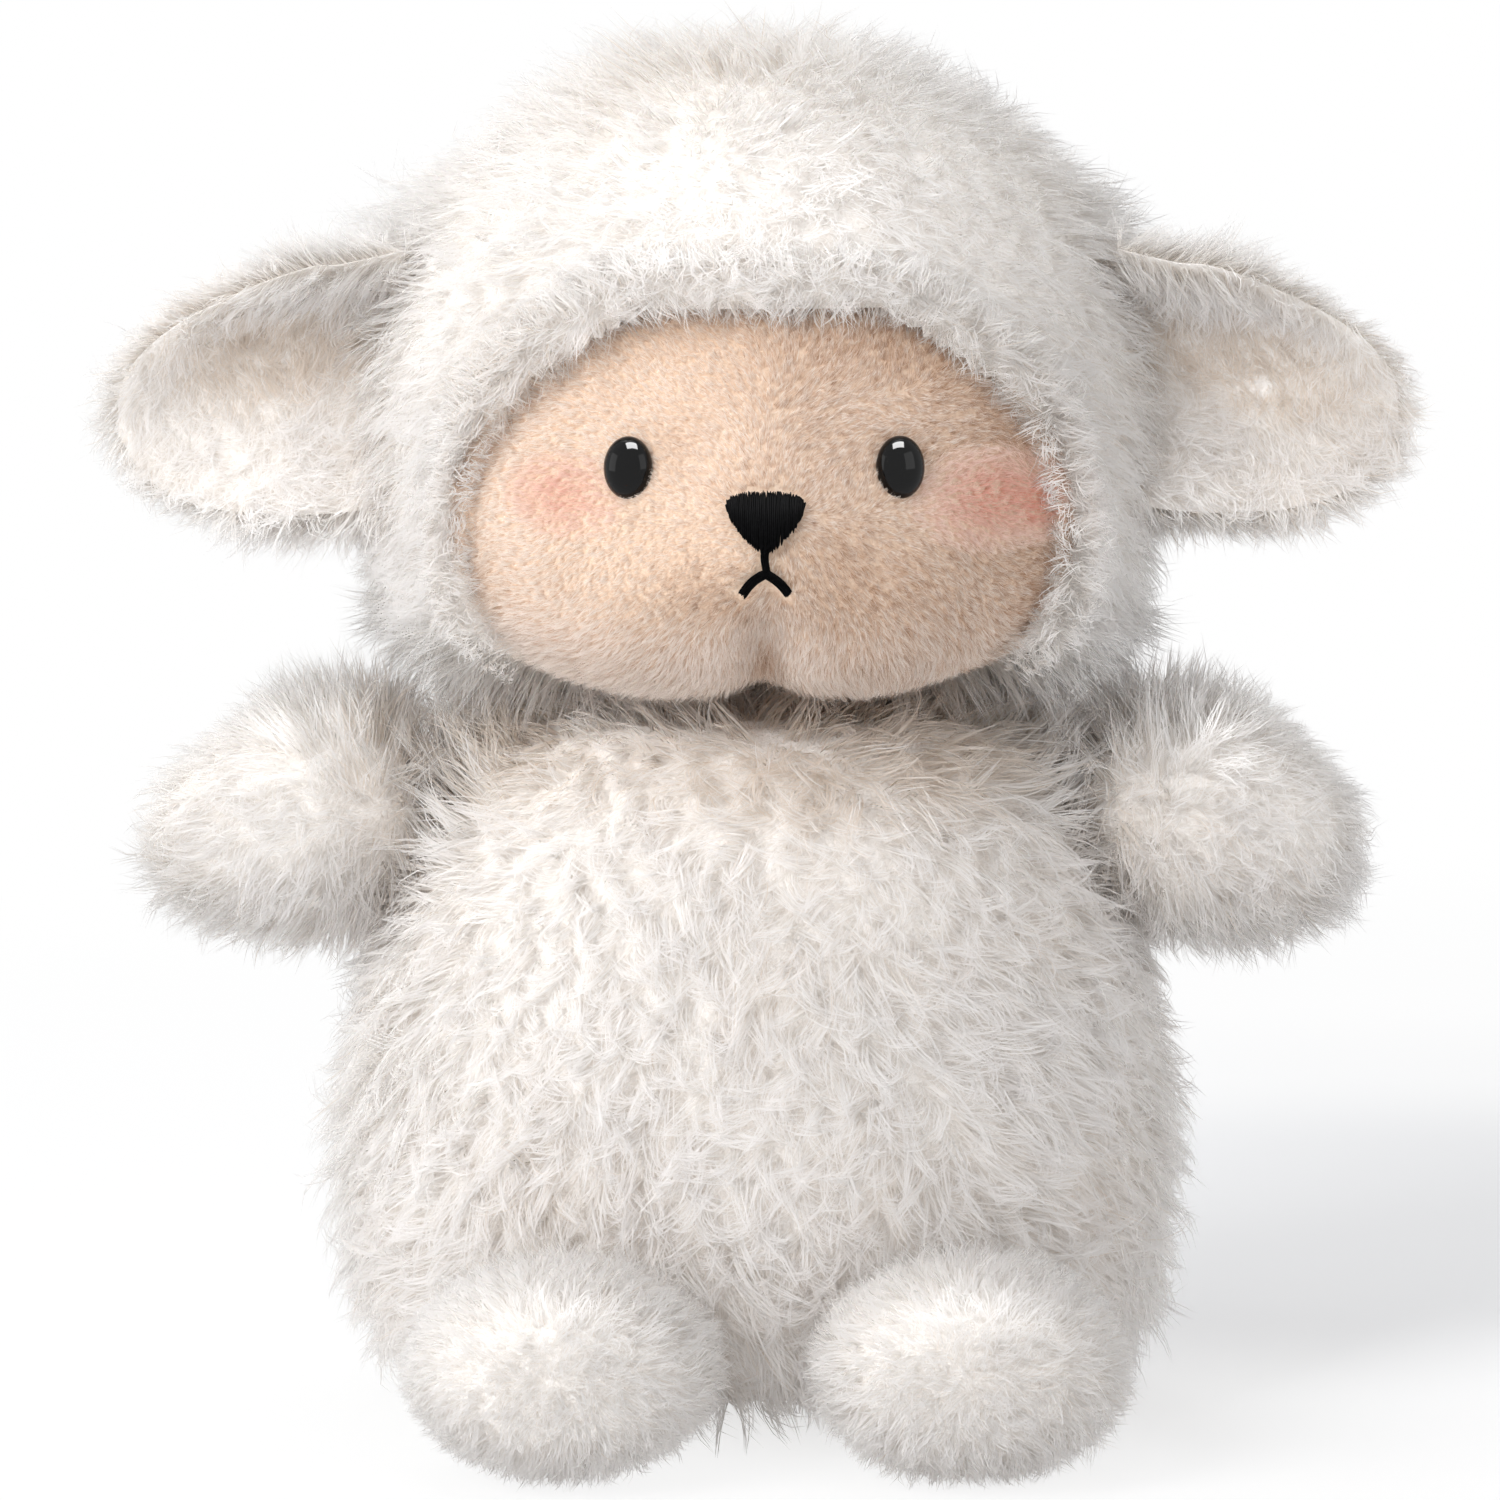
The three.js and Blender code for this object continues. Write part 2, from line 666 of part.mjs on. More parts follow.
// The toy, piece by piece

const neckCentre = new THREE.Vector3(0, headSetback, neckHeight);
const neckSocket = solidOf(
  socketForm(neckRadius, neckRadius, bodyFacets.sectors).translate(neckCentre.x, neckCentre.y, neckCentre.z),
);
const neckBall = solidOf(
  roundForm(neckRadius, neckRadius, bodyFacets.sectors).translate(neckCentre.x, neckCentre.y, neckCentre.z),
);

function makeHead() {
  const { pieces, seats } = makeEyes();
  const opening = solidOf(openingBlock(0, openingBack));
  const panelBlock = solidOf(openingBlock(gap, openingBack - gap));
  const clearFace = solidOf(faceForm(-gap));
  const hood = withoutAll(head.outer, [solidOf(headForm(headWall, liningFacets)), opening, neckSocket]);
  const faceHollow = solidOf(faceForm(faceWall, faceLiningFacets));
  const panel = solidOf(faceForm(0)).intersect(panelBlock).subtract(faceHollow);
  const inside = solidOf(headForm(headWall + gap, liningFacets));
  const beforeHood = solidOf(openingBlock(gap + gap, openingBack - gap));
  const throughHood = solidOf(openingBlock(gap + gap, openingBack + overrun)).intersect(inside);
  const faceFill = solidOf(faceForm(faceWall + gap, faceLiningFacets)).intersect(beforeHood.add(throughHood));
  const backFill = inside.subtract(solidOf(openingBlock(-gap, openingBack)));
  const eyeTools = seats.flatMap((seat) => seat.tools);
  const pockets = seats.map((seat) => seat.pocket);
  const filling = withoutAll(backFill.add(faceFill), [neckSocket, ...pockets]);
  return [
    pieceOf("hood_skin", hood, "longPile", neckCentre),
    pieceOf("face_panel", withoutAll(panel, [neckSocket, ...eyeTools]), "shortPile"),
    pieceOf("head_stuffing", filling, "filling"),
    pieceOf("nose_stitching", makeNose(clearFace), "thread"),
    pieceOf("mouth_stitching", makeMouth(clearFace), "thread"),
    ...pieces,
  ];
}

function pelletBag(inset) {
  const side = smoothOutline(
    pelletWidthShares,
    pelletHeightShares,
    pelletHalfWidth,
    pelletHeight,
    liningFacets.rings,
  );
  const shape = {
    outline: closedOutline(side),
    halfWidth: pelletHalfWidth,
    front: (pelletHalfWidth * bodyFront) / bodyHalfWidth,
    back: (pelletHalfWidth * bodyBack) / bodyHalfWidth,
  };
  return stuffedForm(shape, inset, liningFacets.sectors).translate(0, 0, bodyWall + gap);
}

function makeTail() {
  const from = new THREE.Vector3(0, farAway, tailHeight);
  const root = surfacePoint(bodyForm(0), from, new THREE.Vector3(0, -1, 0));
  const centre = new THREE.Vector3(root.x, root.y + tailRadius / 2, root.z);
  const placed = (geometry) => solidOf(geometry.translate(centre.x, centre.y, centre.z));
  const ball = (radius) => placed(roundForm(radius));
  const mouth = placed(rod(plugRadius, 0, tailRadius).rotateX(Math.PI / 2));
  const skin = ball(tailRadius).subtract(ball(tailRadius - tailWall)).subtract(mouth).subtract(body.clear);
  return [
    pieceOf("tail_skin", skin, "longPile", root),
    pieceOf("tail_stuffing", ball(tailRadius - tailWall - gap).subtract(body.clear), "filling", root),
  ];
}

function makeBody(limbs) {
  const sockets = limbs.map((limb) => limb.socket);
  const skin = withoutAll(body.outer, [solidOf(bodyForm(bodyWall, liningFacets)), neckSocket, ...sockets]);
  const bagRoom = solidOf(pelletBag(-gap));
  const inside = solidOf(bodyForm(bodyWall + gap, liningFacets));
  const filling = withoutAll(inside, [neckSocket, bagRoom, ...sockets]);
  return [
    pieceOf("body_skin", skin, "longPile"),
    pieceOf("body_stuffing", filling, "filling"),
    pieceOf("pellet_bag", solidOf(pelletBag(0)), "pellets"),
  ];
}

const limbs = [
  ...Object.entries(restingArms).map(([name, { side, droop, forward }]) =>
    makeArm("arm_" + name, side, droop, forward),
  ),
  makeLeg("leg_right", -1),
  makeLeg("leg_left", 1),
];

const sheep = new THREE.Group();
sheep.add(
  ...makeBody(limbs),
  ...makeTail(),
  pieceOf("neck_stuffing", neckBall, "filling", neckCentre),
  ...makeHead(),
  ...makeEar("ear_right", -1),
  ...makeEar("ear_left", 1),
  ...limbs.flatMap((limb) => limb.pieces),
);

// The middle of the toy's depth stands over the origin.
const reach = new THREE.Box3().setFromObject(sheep);
sheep.position.y = -(reach.min.y + reach.max.y) / 2;

export default sheep;
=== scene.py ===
# A sitting plush sheep in a fur hood: its cloth, pile, face, lights and camera.
# Sizes are in millimetres, and each mesh is turned into metres when it is made.
import json
import math

import bpy
import numpy as np
from mathutils import Matrix, Vector


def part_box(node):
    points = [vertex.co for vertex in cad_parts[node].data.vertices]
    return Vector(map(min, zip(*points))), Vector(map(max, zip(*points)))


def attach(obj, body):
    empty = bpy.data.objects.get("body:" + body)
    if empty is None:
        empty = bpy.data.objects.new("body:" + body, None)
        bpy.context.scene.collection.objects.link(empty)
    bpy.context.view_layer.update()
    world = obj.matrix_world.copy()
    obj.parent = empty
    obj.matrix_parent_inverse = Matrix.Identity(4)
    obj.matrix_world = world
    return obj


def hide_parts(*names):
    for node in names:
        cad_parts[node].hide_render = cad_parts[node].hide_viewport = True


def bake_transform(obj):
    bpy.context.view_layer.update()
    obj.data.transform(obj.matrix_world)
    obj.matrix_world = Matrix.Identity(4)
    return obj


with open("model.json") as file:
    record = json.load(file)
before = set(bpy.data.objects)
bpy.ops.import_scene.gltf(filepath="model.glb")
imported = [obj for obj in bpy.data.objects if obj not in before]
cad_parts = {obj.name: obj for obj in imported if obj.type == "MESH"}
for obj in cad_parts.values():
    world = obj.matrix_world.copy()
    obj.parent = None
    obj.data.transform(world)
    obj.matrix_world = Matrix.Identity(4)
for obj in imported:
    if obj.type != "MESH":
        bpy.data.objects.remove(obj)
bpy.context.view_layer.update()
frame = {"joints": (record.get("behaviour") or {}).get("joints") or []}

MM = 0.001
DEGREE = math.pi / 180
SIDES = {"right": -1, "left": 1}
ACROSS, BACK, UP = np.eye(3)

# Camera, in the photograph's frame
CAMERA_DISTANCE = 2800
CAMERA_ELEVATION = 8.3 * DEGREE
CAMERA_AZIMUTH = -1 * DEGREE
CAMERA_FRAME = 321  # what the frame takes in at the toy's middle
CAMERA_AIM = (-1.9, 0, 143.9)
CAMERA_NEAR = 28
SENSOR = 36

# Studio
FLOOR_SIZE = 4000
FLOOR_SHADE = (150, 215, 0)  # the middle of the toy's shadow
FLOOR_FAR = 600
FLOOR_GLOW_SHARES = ((0.18, 0), (0.36, 0.6), (0.55, 0.86), (1, 1))  # of white, by the way out
LIGHT_BOUNCES = 20
LAMP_AIM = (0, 0, 150)
LAMPS = {  # the place, the width and height, and the watts
    "key_lamp": ((-1050, -1250, 980), (900, 900), 23),
    "fill_lamp": ((1300, -1100, 700), (1100, 1100), 5),
    "side_lamp": ((-1500, -400, 500), (900, 900), 3.5),
    "catch_lamp": ((90, -620, 1700), (1250, 800), 128),
    "top_lamp": ((-200, 300, 1700), (1100, 1100), 8),
}

# Body
BODY_HEIGHT = 150
BODY_HALF_WIDTH = 94
BODY_FRONT = 79
BODY_BACK = 75
BODY_DEPTH = 9.5  # from the outside of the pile down to the cloth
BODY_YOKE = 13  # how far the sewn top of the body fills the hollow under the hood
BODY_PARTING = 40  # from the middle to where the pile is combed fully outwards
BODY_WIDTH_SHARES = (0.62, 0.84, 0.93, 0.975, 1, 0.985, 0.95, 0.895, 0.81, 0.69, 0.47)
BODY_HEIGHT_SHARES = (0, 0.035, 0.1, 0.2, 0.36, 0.5, 0.66, 0.79, 0.9, 0.965, 1)
SHOULDER_SPREAD = 64
SHOULDER_DEPTH_SHARE = 1.6
FULL_SIDE = (62, 28)  # the height where the pile at the right side is longest, and its reach
UNDERSIDE_SLOPE = -0.7
UNDERSIDE_SHARE = 0.25  # of the strands
UNDERSIDE_LENGTH_SHARE = 0.4
CHEST_RAISE = 20 * DEGREE
SHOULDER_RAISE = 30 * DEGREE

# Tail and neck
TAIL_HEIGHT = 46
TAIL_RADIUS = 15
TAIL_DEPTH = 4
NECK_ARC = 60 * DEGREE
NECK_REACH = 20

# Head
NECK_GAP = 5
HEAD_BASE = BODY_HEIGHT + NECK_GAP
HEAD_HEIGHT = 145
HEAD_HALF_WIDTH = 90
HEAD_FRONT = 75
HEAD_BACK = 70
HEAD_SETBACK = -4
HEAD_DEPTH = 9
HEAD_PARTING = 60
HEAD_PARTING_HEIGHT = 205
HEAD_WIDTH_SHARES = (0.42, 0.68, 0.854, 0.93, 0.975, 1, 0.985, 0.93, 0.84, 0.73, 0.58, 0.38, 0.2, 0)
HEAD_HEIGHT_SHARES = (0, 0.018, 0.06, 0.11, 0.18, 0.33, 0.517, 0.655, 0.75, 0.83, 0.905, 0.965, 0.993, 1)
LEAST_HALF = 1  # the least half width that is divided by
UNDER_HOOD_RAISE = 48 * DEGREE
CROWN_RAISE = 10 * DEGREE
RIM_RAISE = 10 * DEGREE
BY_EAR_RAISE = 22 * DEGREE
BY_EAR_PLACE = (-8, -4, 30)  # from the ear's joint, outwards, back and up

# Face
FACE_LIFT = 7
FACE_RECESS = 3
FACE_BASE = HEAD_BASE + FACE_LIFT
FACE_HEIGHT = 106
FACE_HALF_WIDTH = 70
FACE_FRONT = 46
FACE_SETBACK = HEAD_SETBACK - HEAD_FRONT + FACE_RECESS + FACE_FRONT
FACE_DEPTH = 1.7
FACE_WIDTH_SHARES = (0.45, 0.75, 0.92, 1, 0.97, 0.88, 0.74, 0.52, 0.25, 0)
FACE_HEIGHT_SHARES = (0, 0.06, 0.16, 0.33, 0.5, 0.66, 0.8, 0.92, 0.985, 1)
MUZZLE_RISE = 12
MUZZLE_LIFT = 34
MUZZLE_HEIGHT = FACE_BASE + MUZZLE_LIFT
MUZZLE_REACH = 23
CHEEK_RISE = 9
CHEEK_LIFT = 21
CHEEK_HEIGHT = FACE_BASE + CHEEK_LIFT
CHEEK_SPREAD = 32
CHEEK_REACH = 20
CLEFT_DEPTH = 10.5
CLEFT_LIFT = 8
CLEFT_REACH = 4
CLEFT_RUN = 12
CHIN_RISE = 6
CHIN_SPREAD = 6.5
CHIN_REACH = 22
LOBE_DROP = 4.5
LOBE_SPREAD = 30
LOBE_REACH = 20
SWELLINGS = (  # how far each stands out, its x and z, and its reaches across and up
    (MUZZLE_RISE, 0, MUZZLE_HEIGHT, MUZZLE_REACH, MUZZLE_REACH),
    (CHEEK_RISE, -CHEEK_SPREAD, CHEEK_HEIGHT, CHEEK_REACH, CHEEK_REACH),
    (CHEEK_RISE, CHEEK_SPREAD, CHEEK_HEIGHT, CHEEK_REACH, CHEEK_REACH),
    (-CLEFT_DEPTH, 0, FACE_BASE + CLEFT_LIFT, CLEFT_REACH, CLEFT_RUN),
)
BLUSHES = (  # how strong each is, and then as above
    (0.55, -41, 206, 10, 7),
    (0.8, 48, 205, 13, 8),
    (0.6, 58, 202, 4, 5),
)
# painted shade below the muzzle, on the image's left; the flecks in the next row are the pile's own colour
MUZZLE_SHADES = ((0.16, -16, MUZZLE_HEIGHT - 8, 12, 7),)
MUZZLE_FLECKS = ((0.12, -14, MUZZLE_HEIGHT - 8, 16, 9),)
CLEFT_SHADE_REACH = 2.4
FACE_SHADE_REACH = 22
FACE_GRAIN_REACH = 1.6
FACE_FLECK_REACH = 2

# Opening of the hood
OPENING_HALF_WIDTH = 63
OPENING_HEIGHT = 92
OPENING_DEPTH = 45
OPENING_BACK = HEAD_SETBACK - HEAD_FRONT + OPENING_DEPTH
OPENING_WIDTH_SHARES = (0.76, 0.8, 0.905, 0.975, 1, 0.975, 0.89, 0.73, 0.43, 0)
OPENING_HEIGHT_SHARES = (-0.12, 0.12, 0.2, 0.28, 0.4, 0.555, 0.72, 0.845, 0.985, 1)
FAR_OUTSIDE = 99  # stands for every place behind the opening
HOOD_CLOTH_EDGE = 2  # how far inside the opening each of these ends or begins
HOOD_PILE_EDGE = -1
FACE_CLOTH_EDGE = -6
FACE_WEIGHT_EDGE = -4
FACE_PILE_EDGE = -3
BRIM_RADIUS = 3.5
BRIM_SET_SHARE = 0.9  # of its radius, from the opening's edge out to its middle
BRIM_END = 9  # above the base of the head, as the next
BRIM_FULL = 22.5
BRIM_MIDDLE = 200
BRIM_REACH = 12

# Nose, mouth and eyes
NOSE_LIFT = 6.8
NOSE_CENTRE = MUZZLE_HEIGHT + NOSE_LIFT
NOSE_HALF_WIDTH = 8.2
NOSE_HEIGHT = 12.2
NOSE_PROUD = 2.2
NOSE_HEIGHT_SHARES = (0, 0.06, 0.2, 0.4, 0.58, 0.72, 0.84, 0.92, 0.97, 1)
NOSE_WIDTH_SHARES = (0.12, 0.27, 0.5, 0.77, 0.95, 1, 0.96, 0.83, 0.62, 0.3)
NOSE_THREADS = (0.19, 0.25)
NOSE_RAGGED = (0.22, 0.16)  # the stitches' ends, below and above
NOSE_LEAN = 0.08
NOSE_FAN_SHARE = 0.04
NOSE_UNEVEN = 0.05
NOSE_LAYER_SHARE = 0.12
NOSE_CLEAR = 0.4
STITCH_PITCH = 0.4
STITCH_POINTS = 14
MOUTH_THREAD = 0.85
MOUTH_STEM = 5
MOUTH_HALF_WIDTH = 4.8
MOUTH_DROP = 4.2
MOUTH_TUCK = 0.6
MOUTH_CROSSING = 0.4
MOUTH_THREADS = (0.2, 0.27)
MOUTH_STEM_SHARE = 0.75  # of the arms' thickness
MOUTH_TWISTS = (0.2, 0.05)  # of the stem and of the arms
MOUTH_BOW = 0.5
MOUTH_SINK = 0.1
MOUTH_PROUD = 0.5
MOUTH_UNEVEN = 0.04
MOUTH_CLEAR = 0.7
EYE_SPREAD = 28.5
EYE_LIFT = 9.7
EYE_HEIGHT = NOSE_CENTRE + EYE_LIFT
EYE_HALF_WIDTH = 5.2
EYE_HALF_HEIGHT = 6.6
EYE_DOME = 4.6
EYE_SINK = 1.2
EYE_RIM = 0.8
EYE_FOOT_SHARE = 0.94
EYE_BEVEL = 0.3
EYE_CLEAR_SHARES = (0.72, 0.78)
EYE_YAW = 15 * DEGREE
EYE_PITCH = 5 * DEGREE

# Ears
EAR_SINK = 6
EAR_LENGTH = 62
EAR_HALF_HEIGHT = 33
EAR_FRONT_THICK = 5
EAR_BACK_THICK = 12.5
EAR_CUP = 15
EAR_FLAP_SHARE = 0.3  # how much further forward the upper rim bends, and less the lower one
EAR_RIM_SHARE = 0.7
EAR_DEPTH = 3.5
EAR_RIM_DEPTH = 6  # the same round the rim, where the pile stands out
EAR_ROOT = 14  # how far the ear runs on inside the hood
EAR_DROOP = 13 * DEGREE
EAR_WIDTH_SHARES = (0.96, 1, 0.97, 0.9, 0.79, 0.62, 0.37, 0)
EAR_LENGTH_SHARES = (0, 0.12, 0.28, 0.45, 0.64, 0.81, 0.94, 1)
EAR_SEAM_RAISE = 14 * DEGREE
EAR_RIM_RAISE = 6 * DEGREE
EAR_FRONT_RAISE = 12 * DEGREE
EAR_PILE_SHARES = {"right": 0.9, "left": 0.8}
# painted shade over the whole left ear, which lies away from the key lamp
EAR_SHADE_SHARES = {"right": 0, "left": 0.16}

# Arms
ARM_LENGTH = 61.5
ARM_HALF_WIDTH = 30
ARM_DEPTH = 7.5
ARM_WIDTH_SHARES = (0.6, 0.84, 0.92, 1, 0.95, 0.77, 0.6, 0.42, 0)
ARM_LENGTH_SHARES = (-0.12, 0.03, 0.18, 0.33, 0.5, 0.71, 0.84, 0.93, 1)
ARM_DROOP = 12 * DEGREE
ARM_FORWARD = {"right": 3 * DEGREE, "left": 18 * DEGREE}
ARM_TOP_RAISE = 40 * DEGREE
ARM_LOW_RAISE = 14 * DEGREE

# Legs
LEG_LENGTH = 52
LEG_HALF_WIDTH = 35.5
LEG_HALF_HEIGHT = 25
LEG_DEPTH = 6
LEG_WIDTH_SHARES = (0.6, 0.86, 0.96, 1, 0.96, 0.82, 0.58, 0.32, 0)
LEG_LENGTH_SHARES = (-0.2, -0.02, 0.2, 0.42, 0.64, 0.83, 0.95, 0.99, 1)

# How finely the forms are made
ROWS = 96
SECTORS = 144
END_ROWS = 8  # over a form's flat end
LIMB_ROWS = 64
LIMB_SECTORS = 96
BALL_ROWS = 20
BALL_SECTORS = 64
TAIL_ROWS = 24
TAIL_SECTORS = 48
EYE_ROWS = 28
EYE_SECTORS = 72
BRIM_POINTS = 90
BRIM_SECTORS = 24
BRIM_FADE = 20  # the points over which each end of the brim dies away
WAVES = 9
FLOOR_CLEARANCE = 0.3
RELIEF_DEPTH = 1

# Where each smooth change begins and where it is complete. Shares and slopes are named so. The rest are
# distances or places in millimetres.
ZONES = {
    "yoke height share": (0.8, 0.95),
    "yoke width share": (0.86, 0.54),
    "shoulder": (30, 8),
    "chest slope": (0.4, 0.9),
    "under chin slope": (0.45, 0.8),
    "round neck slope": (0.35, 0.75),
    "right flank": (-55, -88),
    "chest": (-20, -50),
    "body top": (-22, -4),
    "beside ear": (34, 6),
    "hood rim": (-16, -3),
    "hood height": (230, 260),
    "hood right": (-20, -50),
    "hood left": (20, 50),
    "crown slope": (0.7, 1),
    "hood comb slope": (-0.3, -0.7),
    "hood length slope": (-0.15, -0.6),
    "hood raise slope": (-0.2, -0.7),
    "brim inner slope": (0.5, -0.1),
    "brim height": (225, 205),
    "brim end": (BRIM_END, BRIM_FULL),
    "chin": (CHIN_REACH, 0),
    "browner": (-30, 50),
    "paler": (-25, -50),
    "face base": (24, 8),
    "face edge": (9, 0),
    "cleft": (15, 8),
    "fleck share": (0.5, 1.4),
    "chin slope": (-0.2, -0.8),
    "ear over share": (0.45, 0.9),
    "ear cup share": (0.9, 0.6),
    "ear front slope": (0.2, 0.8),
    "ear tip share": (0.7, 0.95),
    "ear rim share": (0.5, 0.8),
    "ear edge slope": (0.85, 0.45),
    "ear hollow share": (1, 0.3),
    "ear seam": (16, 0),
    "ear seam raise": (14, 0),
    "arm top": (34, 8),
    "arm top slope": (0, 0.6),
    "arm low slope": (0.1, -0.7),
    "arm crease": (20, 4),
}

# Over what reaches the pile's direction swirls, and the seed of each swirl
SWIRLS = {
    "body": (70, 60, 11),
    "head": (55, 50, 21),
    "face": (30, 30, 32),
    "ear": (30, 30, 41),
    "arm": (35, 35, 51),
    "leg": (25, 25, 61),
}
LENGTH_REACH = 45
SHADE_REACH = 60

# How the locks and strands of each part are made, and the slot, fill and meshes of the part
FUR_STYLE = dict(
    steps=3, strands=9, per_area=1.35, lock_reach=2.2, length=12.5, length_shares=(0.82, 1.12),
    strand_shares=(0.5, 1.06), root_lift=66 * DEGREE, tip_lift=15 * DEGREE, lift_spread=10 * DEGREE,
    stray=22 * DEGREE, curl=70 * DEGREE, closing_share=0.3, frizz=0.42, waves=(2, 8), widths=(0.14, 0.27),
    soft_share=0.7, fill_share=0.85, meshes=1, slot="long_pile",
)
BODY_STYLE = dict(
    FUR_STYLE, steps=4, strands=11, per_area=1.15, lock_reach=2.6, length=16, length_shares=(0.7, 1.12),
    root_lift=64 * DEGREE, tip_lift=4 * DEGREE, lift_spread=14 * DEGREE, stray=26 * DEGREE,
    closing_share=0.64, waves=(2, 7), widths=(0.18, 0.33), soft_share=0.8, meshes=6,
)
HOOD_STYLE = dict(FUR_STYLE, soft_share=0.91, meshes=4)
BRIM_STYLE = dict(FUR_STYLE, length=8, per_area=2.6, tip_lift=28 * DEGREE, stray=45 * DEGREE)
NECK_STYLE = dict(
    FUR_STYLE, length=13, per_area=1.2, root_lift=75 * DEGREE, tip_lift=12 * DEGREE, fill_share=0.9
)
EAR_STYLE = dict(
    FUR_STYLE, length=10, per_area=2, root_lift=50 * DEGREE, tip_lift=12 * DEGREE, fill_share=0.35
)
ARM_STYLE = dict(FUR_STYLE, length=11, per_area=1.75, tip_lift=12 * DEGREE, soft_share=0.87)
TAIL_STYLE = dict(ARM_STYLE, soft_share=0.7, fill_share=0.8)
LEG_STYLE = dict(
    FUR_STYLE, strands=7, per_area=2.5, lock_reach=1.7, length=8, root_lift=72 * DEGREE,
    tip_lift=30 * DEGREE, closing_share=0.16, widths=(0.15, 0.25), soft_share=0.88, fill_share=0.9,
    slot="dense_pile",
)
FACE_STYLE = dict(
    FUR_STYLE, steps=2, strands=4, per_area=7.4, lock_reach=0.6, length=2.7, length_shares=(0.8, 1.15),
    root_lift=62 * DEGREE, tip_lift=22 * DEGREE, stray=16 * DEGREE, curl=20 * DEGREE, closing_share=0.4,
    frizz=0.06, widths=(0.08, 0.14), soft_share=0.6, fill_share=0.8, meshes=2, slot="short_pile",
)

# Each limb's body, its cloth's reaches before and beyond the joint, and its solids' kinds
LIMBS = {
    "ear": ("head", (4, 16), ("front", "back"), EAR_STYLE),
    "arm": ("torso", (6, 20), ("skin", "stuffing"), ARM_STYLE),
    "leg": ("torso", (6, 18), ("skin", "stuffing"), LEG_STYLE),
}

# Joints, in the toy's own frame
PIVOTS = {j["child"]: np.array(j["pos_m"]) / MM for j in frame["joints"]}
SHIFT = PIVOTS["neck"][1] - HEAD_SETBACK  # from the source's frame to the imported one, along Y


def arr(*values):
    return np.array(values, float)


def unit(vectors):
    return vectors / np.maximum(np.linalg.norm(vectors, axis=-1, keepdims=True), 1e-9)


def wobble(places, reach, seed):
    """A smooth random number, mostly from -1 to 1, at each place. It changes over about reach."""
    draw = np.random.default_rng(seed)
    directions = unit(draw.normal(size=(WAVES, 3))) * (2 * math.pi / reach)
    directions *= draw.uniform(0.6, 1.4, (WAVES, 1))
    phases = draw.uniform(0, 2 * math.pi, WAVES)
    return np.sin(places @ directions.T + phases).sum(1) / math.sqrt(WAVES)


def swirl(part, places, first, second):
    """Two directions, each by its own smooth random number."""
    one, two, seed = SWIRLS[part]
    return wobble(places, one, seed)[:, None] * first + wobble(places, two, seed + 1)[:, None] * second


def ease(zone, values):
    """A smooth change from 0 to 1 over a zone of the table."""
    low, high = ZONES[zone]
    share = np.clip((values - low) / (high - low), 0, 1)
    return share * share * (3 - 2 * share)


def bell(values, middle, reach):
    """1 at the middle, and less on both sides of it."""
    return np.exp(-(((values - middle) / reach) ** 2))


def humps(x, z, table):
    """The sum of smooth rises, each from a row of a table like SWELLINGS."""
    return sum(rise * bell(x, across, reach) * bell(z, up, run) for rise, across, up, reach, run in table)


# Outlines and forms

def spline(points, count):
    """Points at even steps along a smooth line through the given points."""
    points = np.asarray(points, float)
    ends = np.vstack([points[:1], points, points[-1:]])
    fine = []
    for k in range(len(points) - 1):
        a, b, c, d = ends[k : k + 4]
        t = np.linspace(0, 1, 24, endpoint=False)[:, None]
        left, right = (c - a) / 2, (d - b) / 2
        cubed = (2 * b - 2 * c + left + right) * t**3
        squared = (3 * c - 3 * b - 2 * left - right) * t**2
        fine.append(cubed + squared + left * t + b)
    fine = np.vstack([*fine, points[-1:]])
    steps = np.r_[0, np.cumsum(np.linalg.norm(np.diff(fine, axis=0), axis=1))]
    even = np.linspace(0, steps[-1], count)
    return np.stack([np.interp(even, steps, fine[:, k]) for k in range(fine.shape[1])], 1)


def outline_of(width_shares, height_shares, half_width, height, rows=ROWS):
    """A smooth outline from a flat end, which closes at its other end where its last width is 0."""
    points = np.stack([arr(*width_shares) * half_width, arr(*height_shares) * height], 1)
    line = spline(points, rows)
    inner = np.linspace(0, 1, END_ROWS, endpoint=False)[:, None] * arr(line[0, 0], 0)
    line = np.vstack([inner + arr(0, line[0, 1]), line])
    if width_shares[-1] == 0:
        line[-1, 0] = 0
    return line


def turns(count):
    """Even steps once round."""
    return np.linspace(0, 2 * math.pi, count, endpoint=False)


def lathe(outline, half_width, front, back, sectors=SECTORS):
    """A grid of points: the outline's rows turned about Z, deeper or flatter towards -Y and +Y."""
    turn = turns(sectors)
    x = outline[:, :1] * np.cos(turn)
    y = outline[:, :1] * np.sin(turn)
    y = y * np.where(y < 0, front, back) / half_width
    z = np.broadcast_to(outline[:, 1:], x.shape)
    return np.stack([x, y, z], 2)


def ball_line(radius, arc, rows):
    turn = np.linspace(-arc, arc, rows)
    return np.stack([np.cos(turn), np.sin(turn)], 1) * radius


def normals_of(grid):
    """The outward direction at each point of a grid that is closed round its second axis."""
    across = np.roll(grid, -1, 1) - np.roll(grid, 1, 1)
    along = np.gradient(grid, axis=0)
    found = np.cross(across, along)
    size = np.linalg.norm(found, axis=2, keepdims=True)
    ends = size[..., 0] < 1e-6
    found = found / np.maximum(size, 1e-9)
    axis = unit(grid[-1].mean(0) - grid[0].mean(0))
    outward = np.where((np.arange(len(grid)) < len(grid) / 2)[:, None], -axis, axis)
    found[ends] = outward[np.nonzero(ends)[0]]
    return found


def sunk(grid, depth):
    """A grid moved in by a depth, and its outward directions."""
    normals = normals_of(grid)
    return grid - normals * depth, normals


def front_of(line, x, up, least=0):
    """A form's half width at each height, and at each x the share of its depth that is left."""
    half = np.interp(up, line[:, 1], line[:, 0])
    return half, np.sqrt(np.maximum(1 - (x / np.maximum(half, LEAST_HALF)) ** 2, least))


